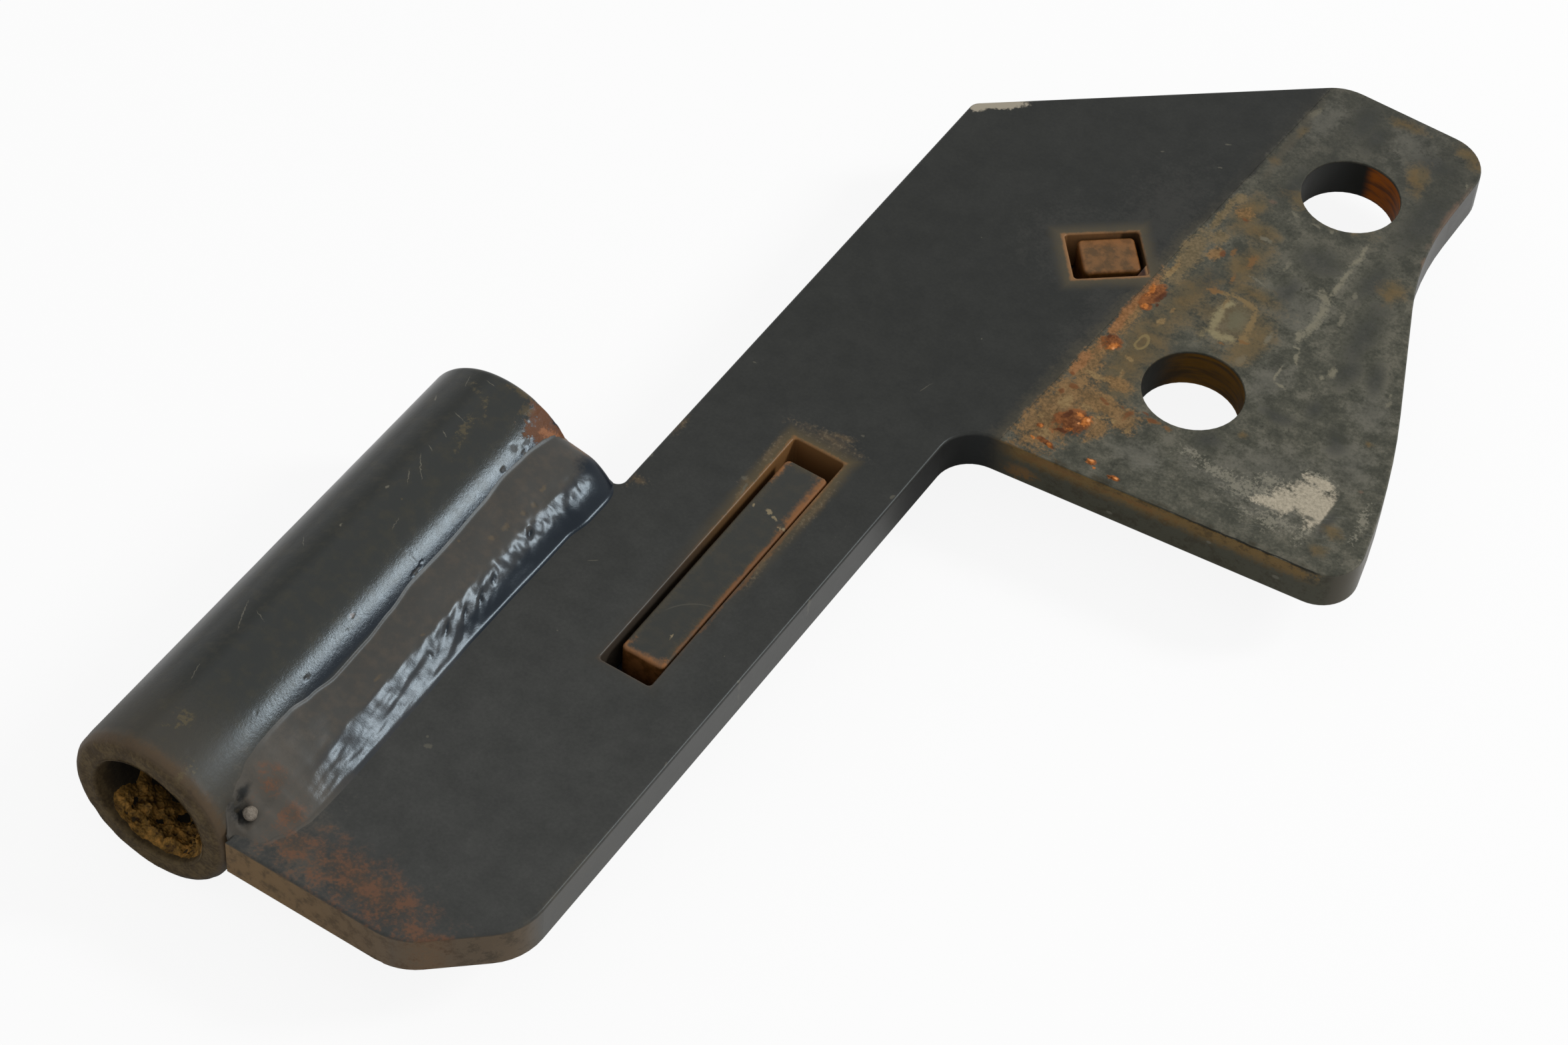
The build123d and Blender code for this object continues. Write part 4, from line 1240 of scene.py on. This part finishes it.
barrel = lay_grid("barrel", len(TUBE_OUTLINE) - 1, TUBE_COLUMNS, tube_corner)
barrel.data.materials.append(tube_paint)
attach(barrel, "root")
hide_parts("pivot_tube")

# %% [markdown]
# ## Grit in the bore
# Grease and dust have caked to a crumbly crust in the lower right of the near mouth. It is a
# shell that is laid inside the bore: thick and broken in the middle and fading to nothing at
# its edges, where it dips into the wall.

# %% Bore grit
GRIT_FROM, GRIT_TO = -158.0, 14.0
GRIT_DEPTH = 7.0
GRIT_SKIN = 0.8


def grit_corner(across, along):
    """Across goes round the bore and back inside the wall, along goes down the bore."""
    y = TUBE_NEAR + 0.9 + GRIT_DEPTH * along
    if across > GRIT_SKIN:
        back_share = (across - GRIT_SKIN) / (1 - GRIT_SKIN)
        degrees = GRIT_TO + (GRIT_FROM - GRIT_TO) * back_share
        radius = BORE_R + 0.9 * math.sin(math.pi * min(max(back_share, 0), 1)) + 0.1
    else:
        share = across / GRIT_SKIN
        degrees = GRIT_FROM + (GRIT_TO - GRIT_FROM) * share
        turn = math.radians(degrees)
        u, v = math.cos(turn) * BORE_R, math.sin(turn) * BORE_R
        edge = smooth(share, 0, 0.18) * (1 - smooth(share, 0.8, 1))
        edge *= smooth(along, 0, 0.22) * (1 - smooth(along, 0.6, 1))
        lumps = 0.55 + 0.9 * cloud(u * 0.55, v * 0.55, y * 0.5)
        lumps += 0.45 * cloud(u * 1.5, v * 1.5, y * 1.4) + 0.22 * cloud(u * 4, v * 4, y * 3.6)
        radius = BORE_R + 0.1 - max(lumps, -0.1) * 1.25 * edge
    turn = math.radians(degrees)
    return math.cos(turn) * radius, y, math.sin(turn) * radius


grit = lay_grid("bore_grit", 220, 110, grit_corner)
grit.data.materials.append(
    rust_finish("bore_grit", seen(58, 45, 28), seen(124, 96, 54), seen(182, 134, 72), 1.5)
)
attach(grit, "root")

# %% [markdown]
# ## Spatter
# A drop of molten steel landed in the crevice where the bead starts, and the paint never held
# on it.

# %% Spatter ball
SPATTER_AT = Vector((11.45, -30.5, 4.1))
SPATTER_R = 0.85
bpy.ops.object.select_all(action="DESELECT")
bpy.ops.mesh.primitive_ico_sphere_add(subdivisions=5, radius=1)
spatter = bpy.context.object
spatter.name = "weld_spatter"
for corner in spatter.data.vertices:
    way = corner.co.normalized()
    size = SPATTER_R * (1 + 0.10 * cloud(*way * 1.4))
    size -= 0.015 * cloud(*way * 5)
    corner.co = (SPATTER_AT + way * size) * MM
bpy.ops.object.shade_smooth()
spatter.data.materials.append(
    rust_finish("spatter_steel", seen(104, 96, 88), seen(132, 124, 113), seen(158, 149, 138), 0.9)
)
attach(spatter, "root")

# %% [markdown]
# ## Rust blisters on the head
# Where water crept under the film, rust has swollen up. One thin relief lies just under the
# plate's skin and rises through it only at the blisters, so that each has its own ragged
# outline. It wears the plate's finish, and the colours follow their places by themselves.

# %% Blisters
RELIEF_BASE = PLATE_TOP - 0.06
RELIEF_SUNK = 0.8
RELIEF_SKIN_SHARE = 0.9
RELIEFS = (
    ("rust_blisters_left", Vector((50.2, 70.2)), Vector((9.1, 54.0)), 70, 340),
    ("rust_blisters_right", Vector((59.4, 70.6)), Vector((7.6, 11.5)), 60, 76),
)


def relief_height(x, y):
    """How high rust stands above the worn skin; below nothing it stays hidden."""
    bend_x = x + cloud(x * 0.7, y * 0.7, 2.0) * 0.5 + cloud(x * 2.2, y * 2.2, 7.0) * 0.18
    bend_y = y + cloud(x * 0.7, y * 0.7, 5.0) * 0.5 + cloud(x * 2.2, y * 2.2, 9.0) * 0.18
    knobs = cloud(x * 1.5, y * 1.5, 1.0) * 0.45 + cloud(x * 4.0, y * 4.0, 3.0) * 0.25
    height = -0.12
    for at, size, turn, tall in RUST_BLISTERS:
        cos, sin = math.cos(math.radians(turn)), math.sin(math.radians(turn))
        du, dv = bend_x - at[0], bend_y - at[1]
        u = (du * cos + dv * sin) / (size[0] * 1.15)
        v = (dv * cos - du * sin) / (size[1] * 1.15)
        dome = 1 - (u * u + v * v)
        if dome > -0.3:
            height = max(height, tall * (dome * 0.7 + 0.25 + knobs * 0.6) - 0.03)
    return height


def relief(name, low, size, columns, rows):
    """One relief over a rectangle of the head, closed below the plate's skin."""

    def corner(across, along):
        y = low.y + size.y * along
        if across > RELIEF_SKIN_SHARE:
            back = (1 - across) / (1 - RELIEF_SKIN_SHARE)
            return low.x + size.x * back, y, RELIEF_BASE - RELIEF_SUNK
        x = low.x + size.x * across / RELIEF_SKIN_SHARE
        border = smooth(across, 0, 0.03) * (1 - smooth(across, 0.87, RELIEF_SKIN_SHARE))
        border *= smooth(along, 0, 0.01) * (1 - smooth(along, 0.98, 1))
        rise = (relief_height(x, y) + RELIEF_SUNK) * border
        return x, y, RELIEF_BASE - RELIEF_SUNK + rise

    made = lay_grid(name, columns, rows, corner)
    made.data.materials.append(plate_paint)
    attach(made, "root")


for wanted in RELIEFS:
    relief(*wanted)

# %% [markdown]
# ## Light
# The leaf lies on a white table beside a window: one soft light low on the right, and even
# light from everywhere else. The window is what draws the long highlight on the barrel, so it
# stands where a line from the camera, mirrored in the barrel's upper right side, meets it.

# %% Floor, window and surroundings
FLOOR_SIZE = 6.0
FLOOR_WHITE = 0.85
SHADOW_STRENGTH = 0.1
WINDOW_WAY = Vector((0.635, 0.53, 0.562)).normalized()
WINDOW_DISTANCE = 0.9
WINDOW_HEIGHT = 0.235
WINDOW_LIFT = 0.017
WINDOW_WIDTH = 0.16
WINDOW_RADIANCE = 34.0
SURROUND_LIGHT = 0.545

bpy.ops.object.select_all(action="DESELECT")
floor_z = min(tube_low.z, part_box("stiffener_rib")[0].z) - 0.02 * MM
bpy.ops.mesh.primitive_plane_add(size=FLOOR_SIZE, location=(0, 0, floor_z))
floor = bpy.context.object
floor.name = "table"

table_top = bpy.data.materials.new("table_top")
table_top.use_nodes = True
tree = table_top.node_tree
matt = tree.nodes["Principled BSDF"]
matt.inputs["Base Color"].default_value = (FLOOR_WHITE, FLOOR_WHITE, FLOOR_WHITE, 1)
matt.inputs["Roughness"].default_value = 0.9
matt.inputs["Specular IOR Level"].default_value = 0.0
glow = tree.nodes.new("ShaderNodeEmission")
path = tree.nodes.new("ShaderNodeLightPath")
share = tree.nodes.new("ShaderNodeMath")
share.operation = "MULTIPLY"
share.inputs[1].default_value = 1 - SHADOW_STRENGTH
mixed = tree.nodes.new("ShaderNodeMixShader")
tree.links.new(path.outputs["Is Camera Ray"], share.inputs[0])
tree.links.new(share.outputs[0], mixed.inputs[0])
tree.links.new(matt.outputs[0], mixed.inputs[1])
tree.links.new(glow.outputs[0], mixed.inputs[2])
tree.links.new(mixed.outputs[0], tree.nodes["Material Output"].inputs["Surface"])
floor.data.materials.append(table_top)

window_light = bpy.data.lights.new("window", "AREA")
window_light.shape = "RECTANGLE"
window_light.size = WINDOW_WIDTH
window_light.size_y = WINDOW_HEIGHT
window_light.energy = WINDOW_RADIANCE * math.pi * WINDOW_WIDTH * WINDOW_HEIGHT
window = bpy.data.objects.new("window", window_light)
bpy.context.collection.objects.link(window)
across = Vector((0, 1, 0)) - WINDOW_WAY * WINDOW_WAY.y
across.normalize()
upward = WINDOW_WAY.cross(across)
window.matrix_world = (
    Matrix.Translation(WINDOW_WAY * WINDOW_DISTANCE + upward * WINDOW_LIFT)
    @ Matrix((across, upward, WINDOW_WAY)).transposed().to_4x4()
)

world = bpy.data.worlds.new("surroundings")
bpy.context.scene.world = world
world.use_nodes = True
tree = world.node_tree
sky = tree.nodes["Background"]
sky.inputs["Color"].default_value = (1, 1, 1, 1)
path = tree.nodes.new("ShaderNodeLightPath")
seen_by_eye = tree.nodes.new("ShaderNodeMath")
seen_by_eye.operation = "ADD"
reflected = tree.nodes.new("ShaderNodeMath")
reflected.operation = "ADD"
level = tree.nodes.new("ShaderNodeMapRange")
level.inputs["To Min"].default_value = SURROUND_LIGHT
level.inputs["To Max"].default_value = 1.0
tree.links.new(path.outputs["Is Camera Ray"], seen_by_eye.inputs[0])
tree.links.new(path.outputs["Is Glossy Ray"], seen_by_eye.inputs[1])
tree.links.new(seen_by_eye.outputs[0], reflected.inputs[0])
tree.links.new(path.outputs["Is Transmission Ray"], reflected.inputs[1])
tree.links.new(reflected.outputs[0], level.inputs["Value"])
tree.links.new(level.outputs["Result"], sky.inputs["Strength"])
bpy.context.scene.view_settings.view_transform = "Standard"
